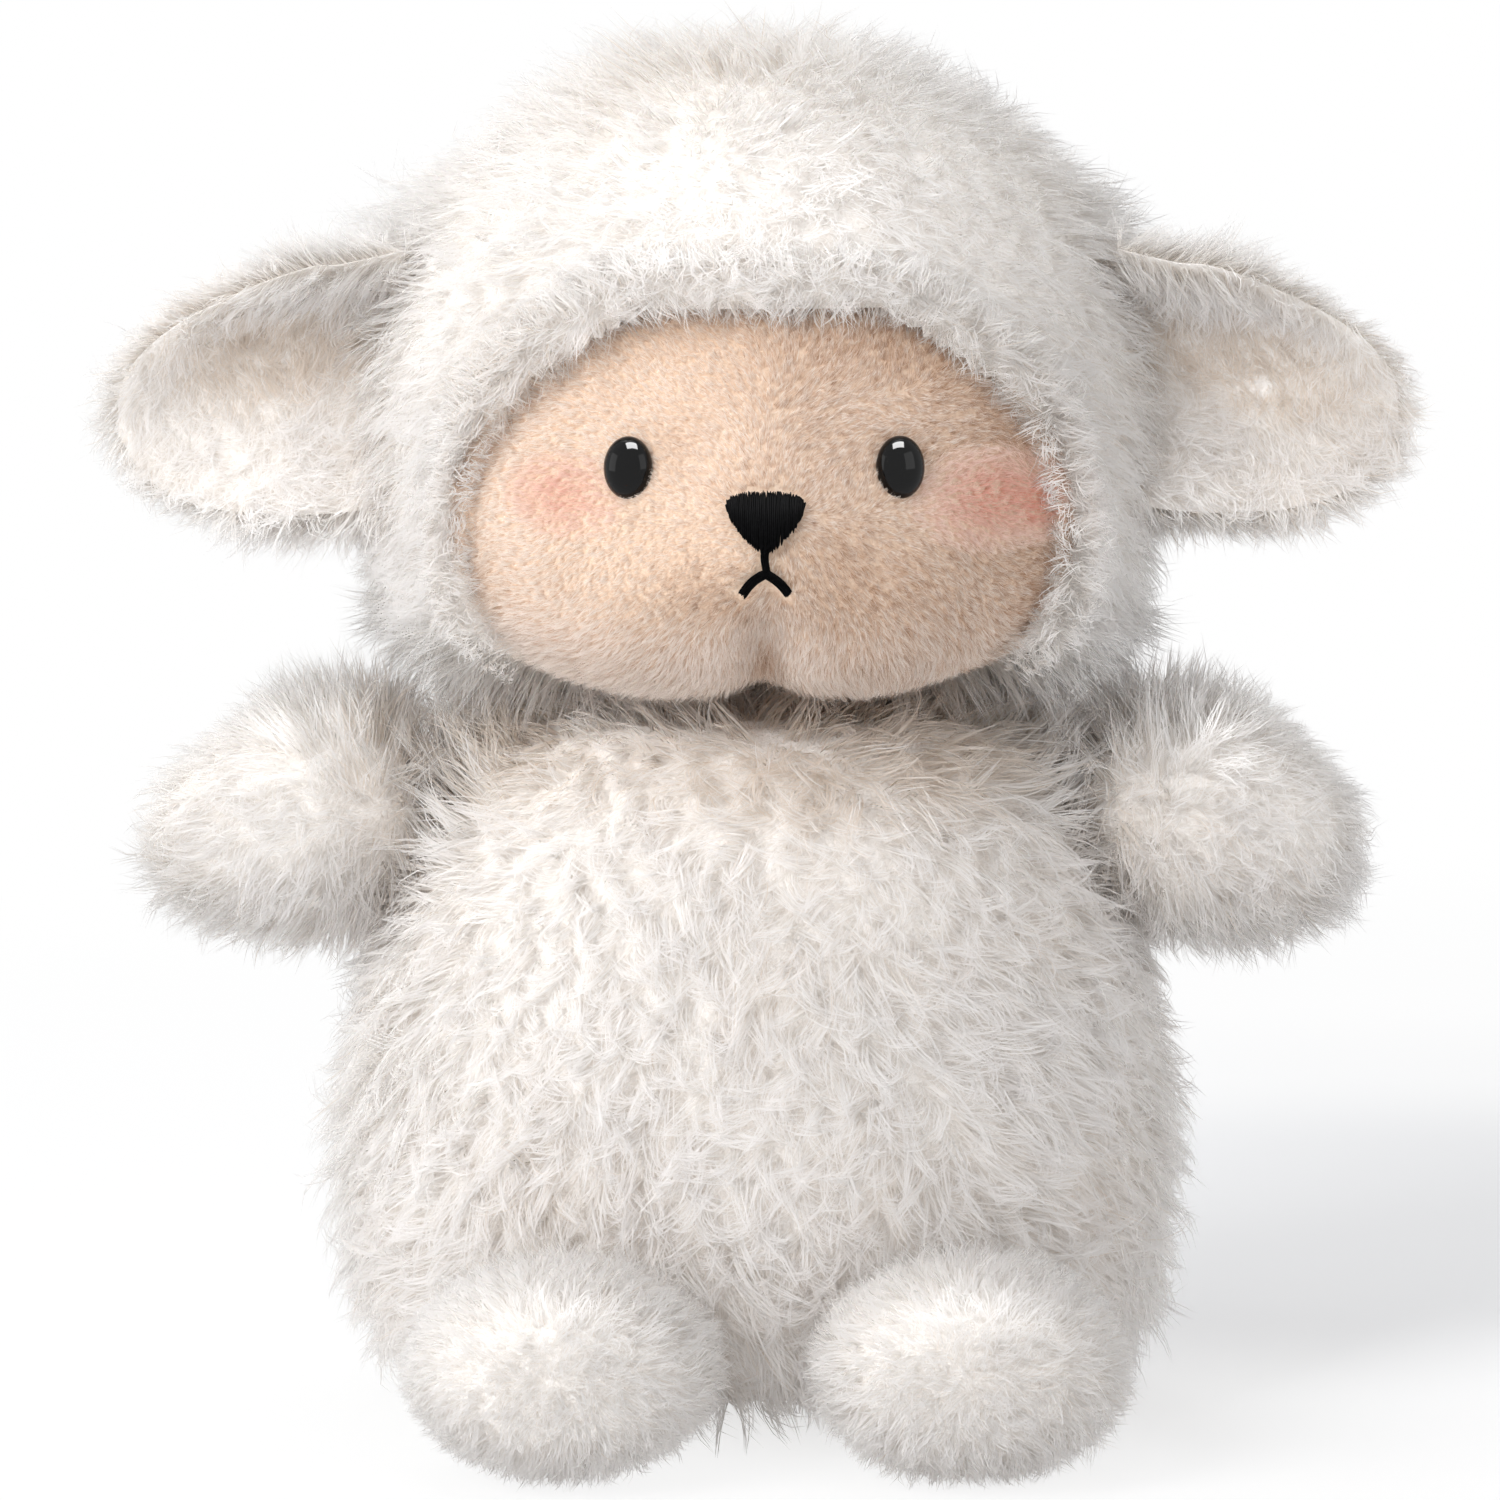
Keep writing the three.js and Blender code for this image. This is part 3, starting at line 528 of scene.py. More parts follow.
def placed(grid, matrix):
    return grid @ matrix[:3, :3].T + matrix[:3, 3]


def matrix_of(place, *rotations):
    """A place and rotations about "X", "Y" or "Z", the last one first, as a 4 by 4 array."""
    made = Matrix.Translation(Vector(place))
    for angle, axis in rotations:
        made = made @ Matrix.Rotation(angle, 4, axis)
    return np.array(made)


def direction(azimuth, elevation):
    """A direction that azimuth turns from the front towards +X, and elevation lifts."""
    level = math.cos(elevation)
    return Vector((level * math.sin(azimuth), -level * math.cos(azimuth), math.sin(elevation)))


# Meshes

def fill_mesh(name, points, corners, sizes, material, uvs=None):
    """A mesh object from points in millimetres, each face's corners and size, and a UV for each corner."""
    mesh = bpy.data.meshes.new(name)
    points = points * MM
    mesh.vertices.add(len(points))
    mesh.vertices.foreach_set("co", points.astype(np.float32).ravel())
    mesh.loops.add(len(corners))
    mesh.loops.foreach_set("vertex_index", corners.astype(np.int32))
    starts = np.r_[0, np.cumsum(sizes)[:-1]]
    mesh.polygons.add(len(sizes))
    mesh.polygons.foreach_set("loop_start", starts.astype(np.int32))
    mesh.polygons.foreach_set("use_smooth", np.ones(len(sizes), bool))
    if uvs is not None:
        layer = mesh.uv_layers.new(name="OFBake")
        layer.data.foreach_set("uv", uvs.astype(np.float32).ravel())
    mesh.update(calc_edges=True)
    mesh.validate()
    mesh.materials.append(material)
    made = bpy.data.objects.new(mesh.name, mesh)
    bpy.context.scene.collection.objects.link(made)
    return made


def mesh_piece(name, points, faces, material):
    sizes = np.full(len(faces), faces.shape[1])
    return fill_mesh(name, points, faces.ravel(), sizes, material)


def grid_faces(rows, sectors):
    i = np.arange(rows - 1)[:, None] * sectors
    j = np.arange(sectors)[None, :]
    after = (j + 1) % sectors
    faces = np.stack([i + j, i + after, i + sectors + after, i + sectors + j], 2)
    return faces.reshape(-1, 4)


# Pile

def cell_areas(grid, weight):
    """The area of each cell of a grid, times its weight where there is one."""
    right = np.roll(grid, -1, 1)
    areas = np.linalg.norm(np.cross(right[:-1] - grid[:-1], grid[1:] - grid[:-1]), axis=2)
    return areas if weight is None else areas * weight[:-1]


def scatter(grid, normals, areas, count, draw):
    """Roots spread evenly by the cells' areas: their places and outward directions."""
    total = np.cumsum(areas.ravel())
    marks = (np.arange(count) + draw.random(count)) / count * total[-1]
    cell = np.minimum(np.searchsorted(total, marks), areas.size - 1)
    i, j = np.unravel_index(cell, areas.shape)
    s, t = draw.random((2, count))

    def mix(values):
        ahead = np.roll(values, -1, 1)
        low = values[i, j] * (1 - t)[:, None] + ahead[i, j] * t[:, None]
        high = values[i + 1, j] * (1 - t)[:, None] + ahead[i + 1, j] * t[:, None]
        return low * (1 - s)[:, None] + high * s[:, None]

    return mix(grid), unit(mix(normals))


def lock_paths(places, normals, combs, lengths, style, draw, raised):
    """Strands in locks: for each lock, several strands that lean, bend and close up towards a tip."""
    locks = len(places)
    steps = style["steps"]
    side = np.cross(normals, combs)
    stray = draw.normal(0, style["stray"], locks)[:, None]
    lean = np.cos(stray) * combs + np.sin(stray) * side
    side = np.cross(normals, lean)
    length = lengths * draw.uniform(*style["length_shares"], locks)
    raised = np.broadcast_to(raised, locks)[:, None]
    root_lift = draw.normal(style["root_lift"], style["lift_spread"], locks)[:, None]
    tip_lift = draw.normal(style["tip_lift"], style["lift_spread"], locks)[:, None] + raised
    curl = draw.normal(0, style["curl"], locks)[:, None]
    path = np.zeros((locks, steps + 1, 3))
    for k in range(steps):
        share = (k + 0.5) / steps
        lift = root_lift + (tip_lift - root_lift) * share
        turn = curl * share
        along = np.cos(turn) * lean + np.sin(turn) * side
        way = np.cos(lift) * along + np.sin(lift) * normals
        path[:, k + 1] = path[:, k] + way * (length / steps)[:, None]
    owner = np.repeat(np.arange(locks), style["strands"])
    strands = len(owner)
    reach = style["lock_reach"] * np.sqrt(draw.random(strands))[:, None]
    angle = draw.uniform(0, 2 * math.pi, strands)[:, None]
    apart = reach * (np.cos(angle) * lean[owner] + np.sin(angle) * side[owner])
    own = draw.uniform(*style["strand_shares"], strands)
    share = np.linspace(0, 1, steps + 1)
    close = 1 - style["closing_share"] * share**0.9
    paths = places[owner][:, None] + path[owner] * own[:, None, None]
    paths += apart[:, None] * close[None, :, None]
    frizz = draw.normal(0, style["frizz"], (strands, 2))
    phase = draw.uniform(0, 2 * math.pi, strands)[:, None]
    wave = np.sin(phase + share * draw.uniform(*style["waves"], strands)[:, None])
    swing = (wave - wave[:, :1]) * share**0.7
    sway = frizz[:, :1, None] * side[owner][:, None] + frizz[:, 1:, None] * normals[owner][:, None]
    return paths + swing[..., None] * sway, owner


def ribbon_mesh(name, paths, normals, widths, tones, material, draw, soft):
    """Tapered ribbons along the paths, broad side outwards, with their tone and height in the map."""
    strands, levels, _ = paths.shape
    along = unit(np.gradient(paths, axis=1))
    side = unit(np.cross(along, normals[:, None]))
    rise = np.cross(side, along)
    roll = draw.uniform(-1.1, 1.1, strands)[:, None, None]
    across = np.cos(roll) * side + np.sin(roll) * rise
    facing = unit(np.cross(across, along))
    taper = np.interp(np.linspace(0, 1, levels), (0, 0.25, 0.7, 1), (0.8, 1, 0.75, 0.1))
    half = widths[:, None, None] * taper[None, :, None] / 2
    left = (paths - across * half)[:, :-1]
    right = (paths + across * half)[:, :-1]
    points = np.stack([left, right], 2).reshape(strands, -1, 3)
    points = np.concatenate([points, paths[:, -1:]], 1)
    each = points.shape[1]
    first = (np.arange(strands) * each)[:, None]
    quads = [[2 * k, 2 * k + 1, 2 * k + 3, 2 * k + 2] for k in range(levels - 2)]
    pattern = np.array([*np.array(quads).ravel(), each - 3, each - 2, each - 1])
    corners = (first + pattern).ravel()
    sizes = np.tile(np.r_[np.full(levels - 2, 4), 3], strands)
    shading = unit(facing * (1 - soft) + normals[:, None] * soft)
    shading = np.concatenate([np.repeat(shading[:, :-1], 2, axis=1), shading[:, -1:]], 1).reshape(-1, 3)
    points = points.reshape(-1, 3)
    points[:, 2] = np.maximum(points[:, 2], FLOOR_CLEARANCE)
    height = np.linspace(0, 1, levels)
    rows = np.r_[np.repeat(height[:-1], 2), 1.0]
    shift = np.r_[np.tile([-1.0, 1.0], levels - 1), 0.0] * 0.004
    u = (np.clip(tones, 0.01, 0.99)[:, None] + shift)[:, pattern]
    v = np.broadcast_to((0.01 + 0.98 * rows)[pattern], u.shape)
    uvs = np.stack([u, v], 2).reshape(-1, 2)
    made = fill_mesh(name, points, corners, sizes, material, uvs)
    if len(made.data.vertices) == len(shading):
        made.data.normals_split_custom_set_from_vertices(shading.astype(np.float32))
    return made


# Materials

BACKING_GRAIN = 900  # to the metre, as the others
FACE_BACKING_GRAIN = 1200
EYE_GRAIN = 400
THREAD_GRAIN = 1500
WASHER_GRAIN = 600


def srgb(*values):
    """A colour as its display values from 0 to 255, in the linear numbers that shaders take."""
    shares = np.array(values) / 255
    return tuple(np.where(shares <= 0.04045, shares / 12.92, ((shares + 0.055) / 1.055) ** 2.4).tolist())


def shader(name):
    """A new material, its nodes' tree and its main node."""
    made = bpy.data.materials.new(name)
    made.use_nodes = True
    return made, made.node_tree, made.node_tree.nodes["Principled BSDF"]


def feed(tree, target, inputs):
    """Gives each input its value, or a link where the value is another node's output."""
    for key, value in dict(inputs).items():
        if isinstance(value, bpy.types.NodeSocket):
            tree.links.new(value, target.inputs[key])
        else:
            target.inputs[key].default_value = value


def node(tree, kind, inputs=(), **settings):
    """A new shader node with its settings and inputs."""
    made = tree.nodes.new("ShaderNode" + kind)
    for key, value in settings.items():
        setattr(made, key, value)
    feed(tree, made, inputs)
    return made


def ramp(tree, stops, share, interpolation="LINEAR"):
    made = node(tree, "ValToRGB", {"Fac": share})
    line = made.color_ramp
    line.interpolation = interpolation
    while len(line.elements) < len(stops):
        line.elements.new(0.5)
    for element, (place, colour) in zip(line.elements, stops):
        element.position = place
        element.color = (*colour, 1)
    return made.outputs["Color"]


def mixed(tree, share, first, second, output="Material Output"):
    """Shows two shaders, mixed by a share."""
    both = node(tree, "MixShader", {"Fac": share, 1: first.outputs[0], 2: second.outputs[0]})
    feed(tree, tree.nodes[output], {"Surface": both.outputs["Shader"]})


def noise(tree, scale, **more):
    place = node(tree, "TexCoord").outputs["Object"]
    return node(tree, "TexNoise", {"Scale": scale, "Vector": place, **more}).outputs["Fac"]


def relief(tree, height, strength):
    depth = RELIEF_DEPTH * MM
    return node(tree, "Bump", {"Strength": strength, "Distance": depth, "Height": height}).outputs["Normal"]


def pile_material(name, heights, tones, glow, roughness, sheen):
    """Pile by its map: the height up a strand gives the colour, darker at the root as painted shade, and
    its tone tints it.
    """
    made, tree, skin = shader(name)
    uv = node(tree, "UVMap", uv_map="OFBake")
    parts = node(tree, "SeparateXYZ", {"Vector": uv.outputs["UV"]})
    by_height = ramp(tree, heights, parts.outputs["Y"])
    by_tone = ramp(tree, tones, parts.outputs["X"])
    tinted = {"Factor": 1, "A": by_height, "B": by_tone}
    colour = node(tree, "Mix", tinted, data_type="RGBA", blend_type="MULTIPLY").outputs["Result"]
    feed(tree, skin, {"Base Color": colour, "Roughness": roughness})
    feed(tree, skin, {"Sheen Weight": sheen, "Sheen Roughness": 0.4})
    mixed(tree, glow, skin, node(tree, "BsdfTranslucent", {"Color": colour}))
    return made


def cloth_material(name, low, high, scale):
    """Knitted backing seen between the strands: a mottled cloth with a fine relief."""
    made, tree, skin = shader(name)
    grain = noise(tree, scale, Detail=6)
    colour = ramp(tree, [(0.3, low), (0.7, high)], grain)
    feed(tree, skin, {"Base Color": colour, "Normal": relief(tree, grain, 0.6)})
    feed(tree, skin, {"Roughness": 0.95, "Sheen Weight": 0.3})
    return made


# Painted shade: the long pile is a little darker and warmer at the root than at the tip.
LONG_HEIGHTS = [(0, srgb(246, 242, 237)), (0.35, srgb(252, 250, 248)), (1, srgb(253, 252, 252))]
# The low end holds random tone and the painted shade at the body's top, in the ears' hollows and in the
# arms' creases.
LONG_TONES = [
    (0, srgb(240, 232, 223)),
    (0.3, srgb(252, 251, 250)),
    (0.6, srgb(254, 254, 254)),
    (1, srgb(255, 255, 255)),
]
# Painted shade: the face's pile is darker and browner at the root than at the tip.
FACE_HEIGHTS = [(0, srgb(230, 208, 189)), (0.4, srgb(244, 237, 229)), (1, srgb(251, 248, 245))]
BLUSH_FROM_SHARE = 0.64  # the tones from here up hold the blush
# The low end holds the flecks and the painted shade of face_tones; from BLUSH_FROM_SHARE up, the blush.
FACE_TONES = [
    (0, srgb(196, 164, 138)),
    (0.3, srgb(242, 232, 223)),
    (0.58, srgb(255, 254, 253)),
    (BLUSH_FROM_SHARE, srgb(255, 248, 245)),
    (1, srgb(240, 180, 163)),
]
BACKING = cloth_material("pile_backing", srgb(232, 226, 220), srgb(246, 243, 240), BACKING_GRAIN)
FACE_BACKING = cloth_material(
    "face_backing", srgb(212, 182, 156), srgb(230, 206, 184), FACE_BACKING_GRAIN
)
PILES = {  # with their glow, roughness and sheen
    "long_pile": pile_material("long_pile", LONG_HEIGHTS, LONG_TONES, 0.5, 0.38, 0.1),
    "dense_pile": pile_material("dense_pile", LONG_HEIGHTS, LONG_TONES, 0.5, 0.45, 0.15),
    "short_pile": pile_material("short_pile", FACE_HEIGHTS, FACE_TONES, 0.42, 0.55, 0.15),
}
BACKINGS = {"long_pile": BACKING, "dense_pile": BACKING, "short_pile": FACE_BACKING}


# Stuffed parts

def pile_on(grid, out, style, comb, draw, weight=None, keep=None, grow=None):
    """Strand paths, their outward directions and their locks' places, grown from a grid.

    grow gives the share of the style's length at each place, and how much further the tips stand up."""
    areas = cell_areas(grid, weight)
    count = int(float(areas.sum()) * style["per_area"] / style["strands"])
    places, normals = scatter(grid, out, areas, count, draw)
    if keep is not None:
        kept = keep(places)
        places, normals = places[kept], normals[kept]
    share, raised = (1, 0) if grow is None else grow(places, normals)
    lengths = style["length"] * (1 + 0.15 * wobble(places, LENGTH_REACH, 13)) * share
    flat = comb(places, normals)
    flat = unit(flat - (flat * normals).sum(1, keepdims=True) * normals)
    paths, owner = lock_paths(places, normals, flat, lengths, style, draw, raised)
    return paths, normals[owner], places[owner]


def long_tones(places, draw):
    return 0.56 + 0.12 * wobble(places, SHADE_REACH, 14) + draw.normal(0, 0.17, len(places))


def make_pile(name, grown, style, draw, fasten, tones=long_tones):
    """One mesh of ribbons, or several that share the strands by their turn about the middle."""
    paths, normals, places = grown
    tone = tones(places, draw)
    widths = draw.uniform(*style["widths"], len(paths))
    middle = places.mean(0)
    turn = np.arctan2(places[:, 1] - middle[1], places[:, 0] - middle[0])
    order = np.argsort(turn, kind="stable")
    slot = style["slot"]
    for k, mine in enumerate(np.array_split(order, style["meshes"])):
        own_name = name if style["meshes"] == 1 else f"{name}_{k + 1}"
        strands = (paths[mine], normals[mine], widths[mine], tone[mine])
        made = ribbon_mesh(own_name, *strands, PILES[slot], draw, style["soft_share"])
        fasten(made)


def base_piece(name, grid, style, fasten, replaced, shown=None):
    """The stuffed cloth under the pile, which stands for the solids of its part."""
    grid = grid.copy()
    grid[..., 2] = np.maximum(grid[..., 2], FLOOR_CLEARANCE)
    faces = grid_faces(*grid.shape[:2])
    points = grid.reshape(-1, 3)
    if shown is not None:
        faces = faces[shown(points[faces].mean(1))]
    slot, fill = style["slot"], style["fill_share"]
    made = mesh_piece(name, points, faces, BACKINGS[slot])
    fasten(made)
    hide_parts(*replaced)


def furred(part, form, seed, style, fasten, replaced, comb, shown=None, tones=long_tones, **growth):
    """A stuffed part: its cloth, and the pile that grows on it."""
    draw = np.random.default_rng(seed)
    cloth, out = form
    base_piece(part + "_cloth", cloth, style, fasten, replaced, shown)
    make_pile(part + "_pile", pile_on(cloth, out, style, comb, draw, **growth), style, draw, fasten, tones)
    return draw


def riding(body):
    return lambda made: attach(made, body)


def furred_limb(part, side, form, seed, way, comb, **growth):
    """An ear, an arm or a leg, with its cloth and pile."""
    body, (before, beyond), kinds, style = LIMBS[part]
    name = part + "_" + side

    def fasten(made):
        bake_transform(made)

    replaced = [name + "_" + kind for kind in kinds]
    furred(name, form, seed + SIDES[side], style, fasten, replaced, comb, **growth)


# Body

def body_form():
    line = outline_of(BODY_WIDTH_SHARES, BODY_HEIGHT_SHARES, BODY_HALF_WIDTH, BODY_HEIGHT)
    top = np.linspace(1, 0, END_ROWS)[1:, None] * arr(line[-1, 0], 0) + arr(0, line[-1, 1])
    grid = lathe(np.vstack([line, top]), BODY_HALF_WIDTH, BODY_FRONT, BODY_BACK)
    share = np.hypot(grid[..., 0] / BODY_HALF_WIDTH, grid[..., 1] / BODY_FRONT)
    high = ease("yoke height share", grid[..., 2] / BODY_HEIGHT)
    grid[..., 2] += BODY_YOKE * ease("yoke width share", share) * high
    return sunk(grid + SHIFT * BACK, BODY_DEPTH)


def by_shoulders(places):
    """1 where the body's pile fills the hollow between the hood and the arms, and 0 away from it."""
    x, y, z = (places - arr(0, PIVOTS["neck"][1], BODY_HEIGHT - BODY_DEPTH)).T
    apart = np.sqrt((np.abs(x) - SHOULDER_SPREAD) ** 2 + (y / SHOULDER_DEPTH_SHARE) ** 2 + z**2)
    return ease("shoulder", apart)


def body_comb(places, normals):
    """Down and outwards from the chest, in wide swirls, and up at the shoulders."""
    x, y, z = places.T
    outward = np.clip(x / BODY_PARTING, -1, 1)[:, None] * ACROSS
    swirls = swirl("body", places, ACROSS, BACK)
    from_neck = unit(np.stack([x, y - PIVOTS["neck"][1], 0 * z], 1))
    top = ease("chest slope", normals[:, 2])[:, None]
    way = 0.6 * outward + 0.7 * swirls + top * (0.5 * from_neck + 0.5 * ACROSS) - UP
    shoulder = by_shoulders(places)[:, None]
    return way * (1 - shoulder) + shoulder * (UP + 0.5 * swirls)


def body_growth(places, normals):
    """The pile stands up round the neck, where the hood presses on it, and is short on the underside."""
    shoulder = by_shoulders(places)
    below = np.where(normals[:, 2] < UNDERSIDE_SLOPE, UNDERSIDE_LENGTH_SHARE, 1.0)
    fuller = ease("right flank", places[:, 0]) * bell(places[:, 2], *FULL_SIDE)
    chin = ease("under chin slope", normals[:, 2]) * ease("chest", places[:, 1])
    share = below * (1 + 0.7 * shoulder + 0.22 * fuller + 0.3 * chin)
    return share, CHEST_RAISE * ease("round neck slope", normals[:, 2]) + SHOULDER_RAISE * shoulder


def body_tones(places, draw):
    """Painted shade: warmer and darker at the top, where the chin shades it."""
    return long_tones(places, draw) - 0.5 * ease("body top", places[:, 2] - BODY_HEIGHT)


def make_body():
    form = body_form()
    inner = ("body_skin", "body_stuffing", "pellet_bag")
    weight = np.where(form[1][..., 2] < UNDERSIDE_SLOPE, UNDERSIDE_SHARE, 1.0)
    growth = {"tones": body_tones, "weight": weight, "grow": body_growth}
    furred("body", form, 101, BODY_STYLE, riding("torso"), inner, body_comb, **growth)


def make_tail():
    line = ball_line(TAIL_RADIUS - TAIL_DEPTH, math.pi / 2, TAIL_ROWS)
    line[[0, -1], 0] = 0
    ball = lathe(line, TAIL_RADIUS, TAIL_RADIUS, TAIL_RADIUS, TAIL_SECTORS)
    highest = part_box("tail_skin")[1]
    centre = arr(0, highest.y / MM - TAIL_RADIUS - TAIL_DEPTH / 2, TAIL_HEIGHT)
    form = (ball + centre, unit(ball))
    inner = ("tail_skin", "tail_stuffing")
    furred("tail", form, 102, TAIL_STYLE, riding("torso"), inner, lambda p, n: arr(0, 0.5, -1) + 0 * p)


def neck_comb(places, normals):
    return 0.9 * wobble(places, NECK_REACH, 15)[:, None] * ACROSS - UP


def make_neck():
    lowest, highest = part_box("neck_stuffing")
    radius = (highest.x - lowest.x) / MM / 2 - ARM_DEPTH
    middle = (highest.z + lowest.z) / MM / 2
    line = ball_line(radius, NECK_ARC, BALL_ROWS)
    line = np.vstack([[0, line[0, 1]], line, [0, line[-1, 1]]])
    ball = lathe(line, radius, radius, radius, BALL_SECTORS)
    form = (ball + arr(0, PIVOTS["neck"][1], middle), unit(ball * arr(1, 1, 0.2)))
    furred("neck", form, 103, NECK_STYLE, riding("neck"), ["neck_stuffing"], neck_comb)


# Head

def head_line():
    return outline_of(HEAD_WIDTH_SHARES, HEAD_HEIGHT_SHARES, HEAD_HALF_WIDTH, HEAD_HEIGHT)


def head_form():
    grid = lathe(head_line(), HEAD_HALF_WIDTH, HEAD_FRONT, HEAD_BACK)
    return sunk(grid + arr(0, SHIFT + HEAD_SETBACK, HEAD_BASE), HEAD_DEPTH)


def opening_outline(count=160):
    across = arr(*OPENING_WIDTH_SHARES) * OPENING_HALF_WIDTH
    up = arr(*OPENING_HEIGHT_SHARES) * OPENING_HEIGHT + HEAD_BASE
    right = spline(np.stack([across, up], 1), count)
    return np.vstack([right, right[-2::-1] * arr(-1, 1)])


def opening_depth(places):
    """How far each place lies inside the hood's opening, seen from the front. Outside it is negative."""
    line = opening_outline()
    found = np.empty(len(places))
    for some in np.array_split(np.arange(len(places)), len(places) // 20000 + 1):
        apart = places[some][:, None, [0, 2]] - line[None]
        found[some] = np.sqrt((apart**2).sum(2)).min(1)
    half = len(line) // 2
    edge = np.interp(places[:, 2], line[: half + 1, 1], line[: half + 1, 0], right=0)
    found = np.where(np.abs(places[:, 0]) < edge, found, -found)
    behind = places[:, 1] > OPENING_BACK + SHIFT
    return np.where(behind, -FAR_OUTSIDE, found)


def head_front(x, z):
    """Where the front of the hood's form lies at each x and z."""
    half, share = front_of(head_line()[END_ROWS:], x, z - HEAD_BASE, 0.02)
    return SHIFT + HEAD_SETBACK - HEAD_FRONT * half / HEAD_HALF_WIDTH * share


def by_ears(places):
    """1 above and before the ears' seams, where the hood's pile runs on into them, and 0 away from them."""
    found = np.zeros(len(places))
    outward, back, up = BY_EAR_PLACE
    for side, sign in SIDES.items():
        apart = places - PIVOTS[side + "_ear"] - arr(sign * outward, back, up)
        found = np.maximum(found, ease("beside ear", np.linalg.norm(apart, axis=1)))
    return found


def head_comb(places, normals):
    """Down from the crown and outwards, in wide swirls. Below, it hangs over the neck."""
    x, y, z = (places - arr(0, SHIFT + HEAD_SETBACK, HEAD_PARTING_HEIGHT)).T
    outward = np.clip(x / HEAD_PARTING, -1, 1)[:, None] * ACROSS
    swirls = swirl("head", places, ACROSS, arr(0, 0.6, 0.6))
    way = 0.5 * outward + 0.6 * swirls - UP
    under = ease("hood comb slope", normals[:, 2])[:, None]
    beside = by_ears(places)[:, None]
    way = way * (1 - beside) + beside * (np.sign(x)[:, None] * ACROSS + arr(0, 0, 0.1))
    return way * (1 - under) + under * unit(np.stack([x, y, 0 * z], 1))


def head_growth(places, normals):
    """Longer and more upright where the fur hangs over the neck, runs into the ears or is on the crown."""
    x, y, z = places.T
    up = normals[:, 2]
    ears = by_ears(places)
    crown = ease("crown slope", up)
    rim = ease("hood rim", opening_depth(places))
    lean = ease("hood height", z) * (0.12 * ease("hood right", x) - 0.2 * ease("hood left", x))
    share = 1 + lean + 0.35 * rim + 0.35 * ease("hood length slope", up) + 0.25 * crown + 0.75 * ears
    raised = UNDER_HOOD_RAISE * ease("hood raise slope", up) + CROWN_RAISE * crown
    return share, raised + RIM_RAISE * rim + BY_EAR_RAISE * ears


def brim_form():
    """The soft edge of the hood: a roll round the opening, which dies away under the cheeks."""
    line = opening_outline(BRIM_POINTS)
    line = line[line[:, 1] > HEAD_BASE + BRIM_END]
    path = np.stack([line[:, 0], head_front(line[:, 0], line[:, 1]), line[:, 1]], 1)
    outward = unit(np.gradient(line, axis=0))[:, [1, 0]] * arr(1, -1)
    outward = np.stack([outward[:, 0], 0 * outward[:, 0], outward[:, 1]], 1)
    path = path + outward * BRIM_RADIUS * BRIM_SET_SHARE + HEAD_DEPTH * BACK
    along = unit(np.gradient(path, axis=0))
    forward = unit(np.cross(along, outward))
    turn = turns(BRIM_SECTORS)
    ring = np.cos(turn)[None, :, None] * outward[:, None] + np.sin(turn)[None, :, None] * forward[:, None]
    fade = np.minimum(1, np.arange(len(path)) / BRIM_FADE)
    fade = np.sqrt(np.minimum(fade, fade[::-1])) + 0.02
    return path[:, None] + ring * BRIM_RADIUS * fade[:, None, None], ring


def brim_comb(places, normals):
    """Away from the face, and forward over its edge."""
    x, y, z = (places - BRIM_MIDDLE * UP).T
    radial = unit(np.stack([x, 0 * x, z], 1))
    inner = ease("brim inner slope", (radial * normals).sum(1))[:, None]
    swirls = 0.4 * wobble(places, BRIM_REACH, 23)[:, None]
    return radial * (1 - inner) + inner * (-BACK - 0.5 * radial) + swirls


def brim_growth(places, normals):
    """Shorter towards the ends, where the brim runs out under the cheeks."""
    x, y, z = places.T
    thin = 0.35 * ease("hood right", x) * ease("brim height", z)
    return 0.45 + 0.55 * ease("brim end", z - HEAD_BASE) - thin, 0


def make_hood():
    inner = ("hood_skin", "head_stuffing")
    growth = {
        "shown": lambda p: opening_depth(p) < HOOD_CLOTH_EDGE,
        "keep": lambda p: opening_depth(p) < HOOD_PILE_EDGE,
        "grow": head_growth,
    }
    draw = furred("hood", head_form(), 111, HOOD_STYLE, riding("head"), inner, head_comb, **growth)
    grown = pile_on(*brim_form(), BRIM_STYLE, brim_comb, draw, grow=brim_growth)
    make_pile("brim_pile", grown, BRIM_STYLE, draw, riding("head"))


# Face

def face_line():
    return outline_of(FACE_WIDTH_SHARES, FACE_HEIGHT_SHARES, FACE_HALF_WIDTH, FACE_HEIGHT)


def face_form():
    grid = lathe(face_line(), FACE_HALF_WIDTH, FACE_FRONT, FACE_FRONT) + FACE_BASE * UP
    forward = np.maximum(0, -grid[..., 1] / FACE_FRONT)
    grid[..., 1] -= humps(grid[..., 0], grid[..., 2], SWELLINGS) * forward
    low = ease("chin", grid[..., 2] - FACE_BASE)
    grid[..., 2] += CHIN_RISE * bell(grid[..., 0], 0, CHIN_SPREAD) * low * forward
    grid[..., 2] -= LOBE_DROP * bell(np.abs(grid[..., 0]), LOBE_SPREAD, LOBE_REACH) * low * forward
    return sunk(grid + arr(0, SHIFT + FACE_SETBACK, 0), FACE_DEPTH)


def on_face(x, z, proud=0):
    """The place on the face's form at each x and z, or one that stands proud of it."""
    x, z = np.broadcast_arrays(np.asarray(x, float), np.asarray(z, float))
    half, share = front_of(face_line()[END_ROWS:], x, z - FACE_BASE)
    plain = half / FACE_HALF_WIDTH * share
    y = -plain * FACE_FRONT - humps(x, z, SWELLINGS) * plain
    return np.stack([x, y + SHIFT + FACE_SETBACK - proud, z], -1)


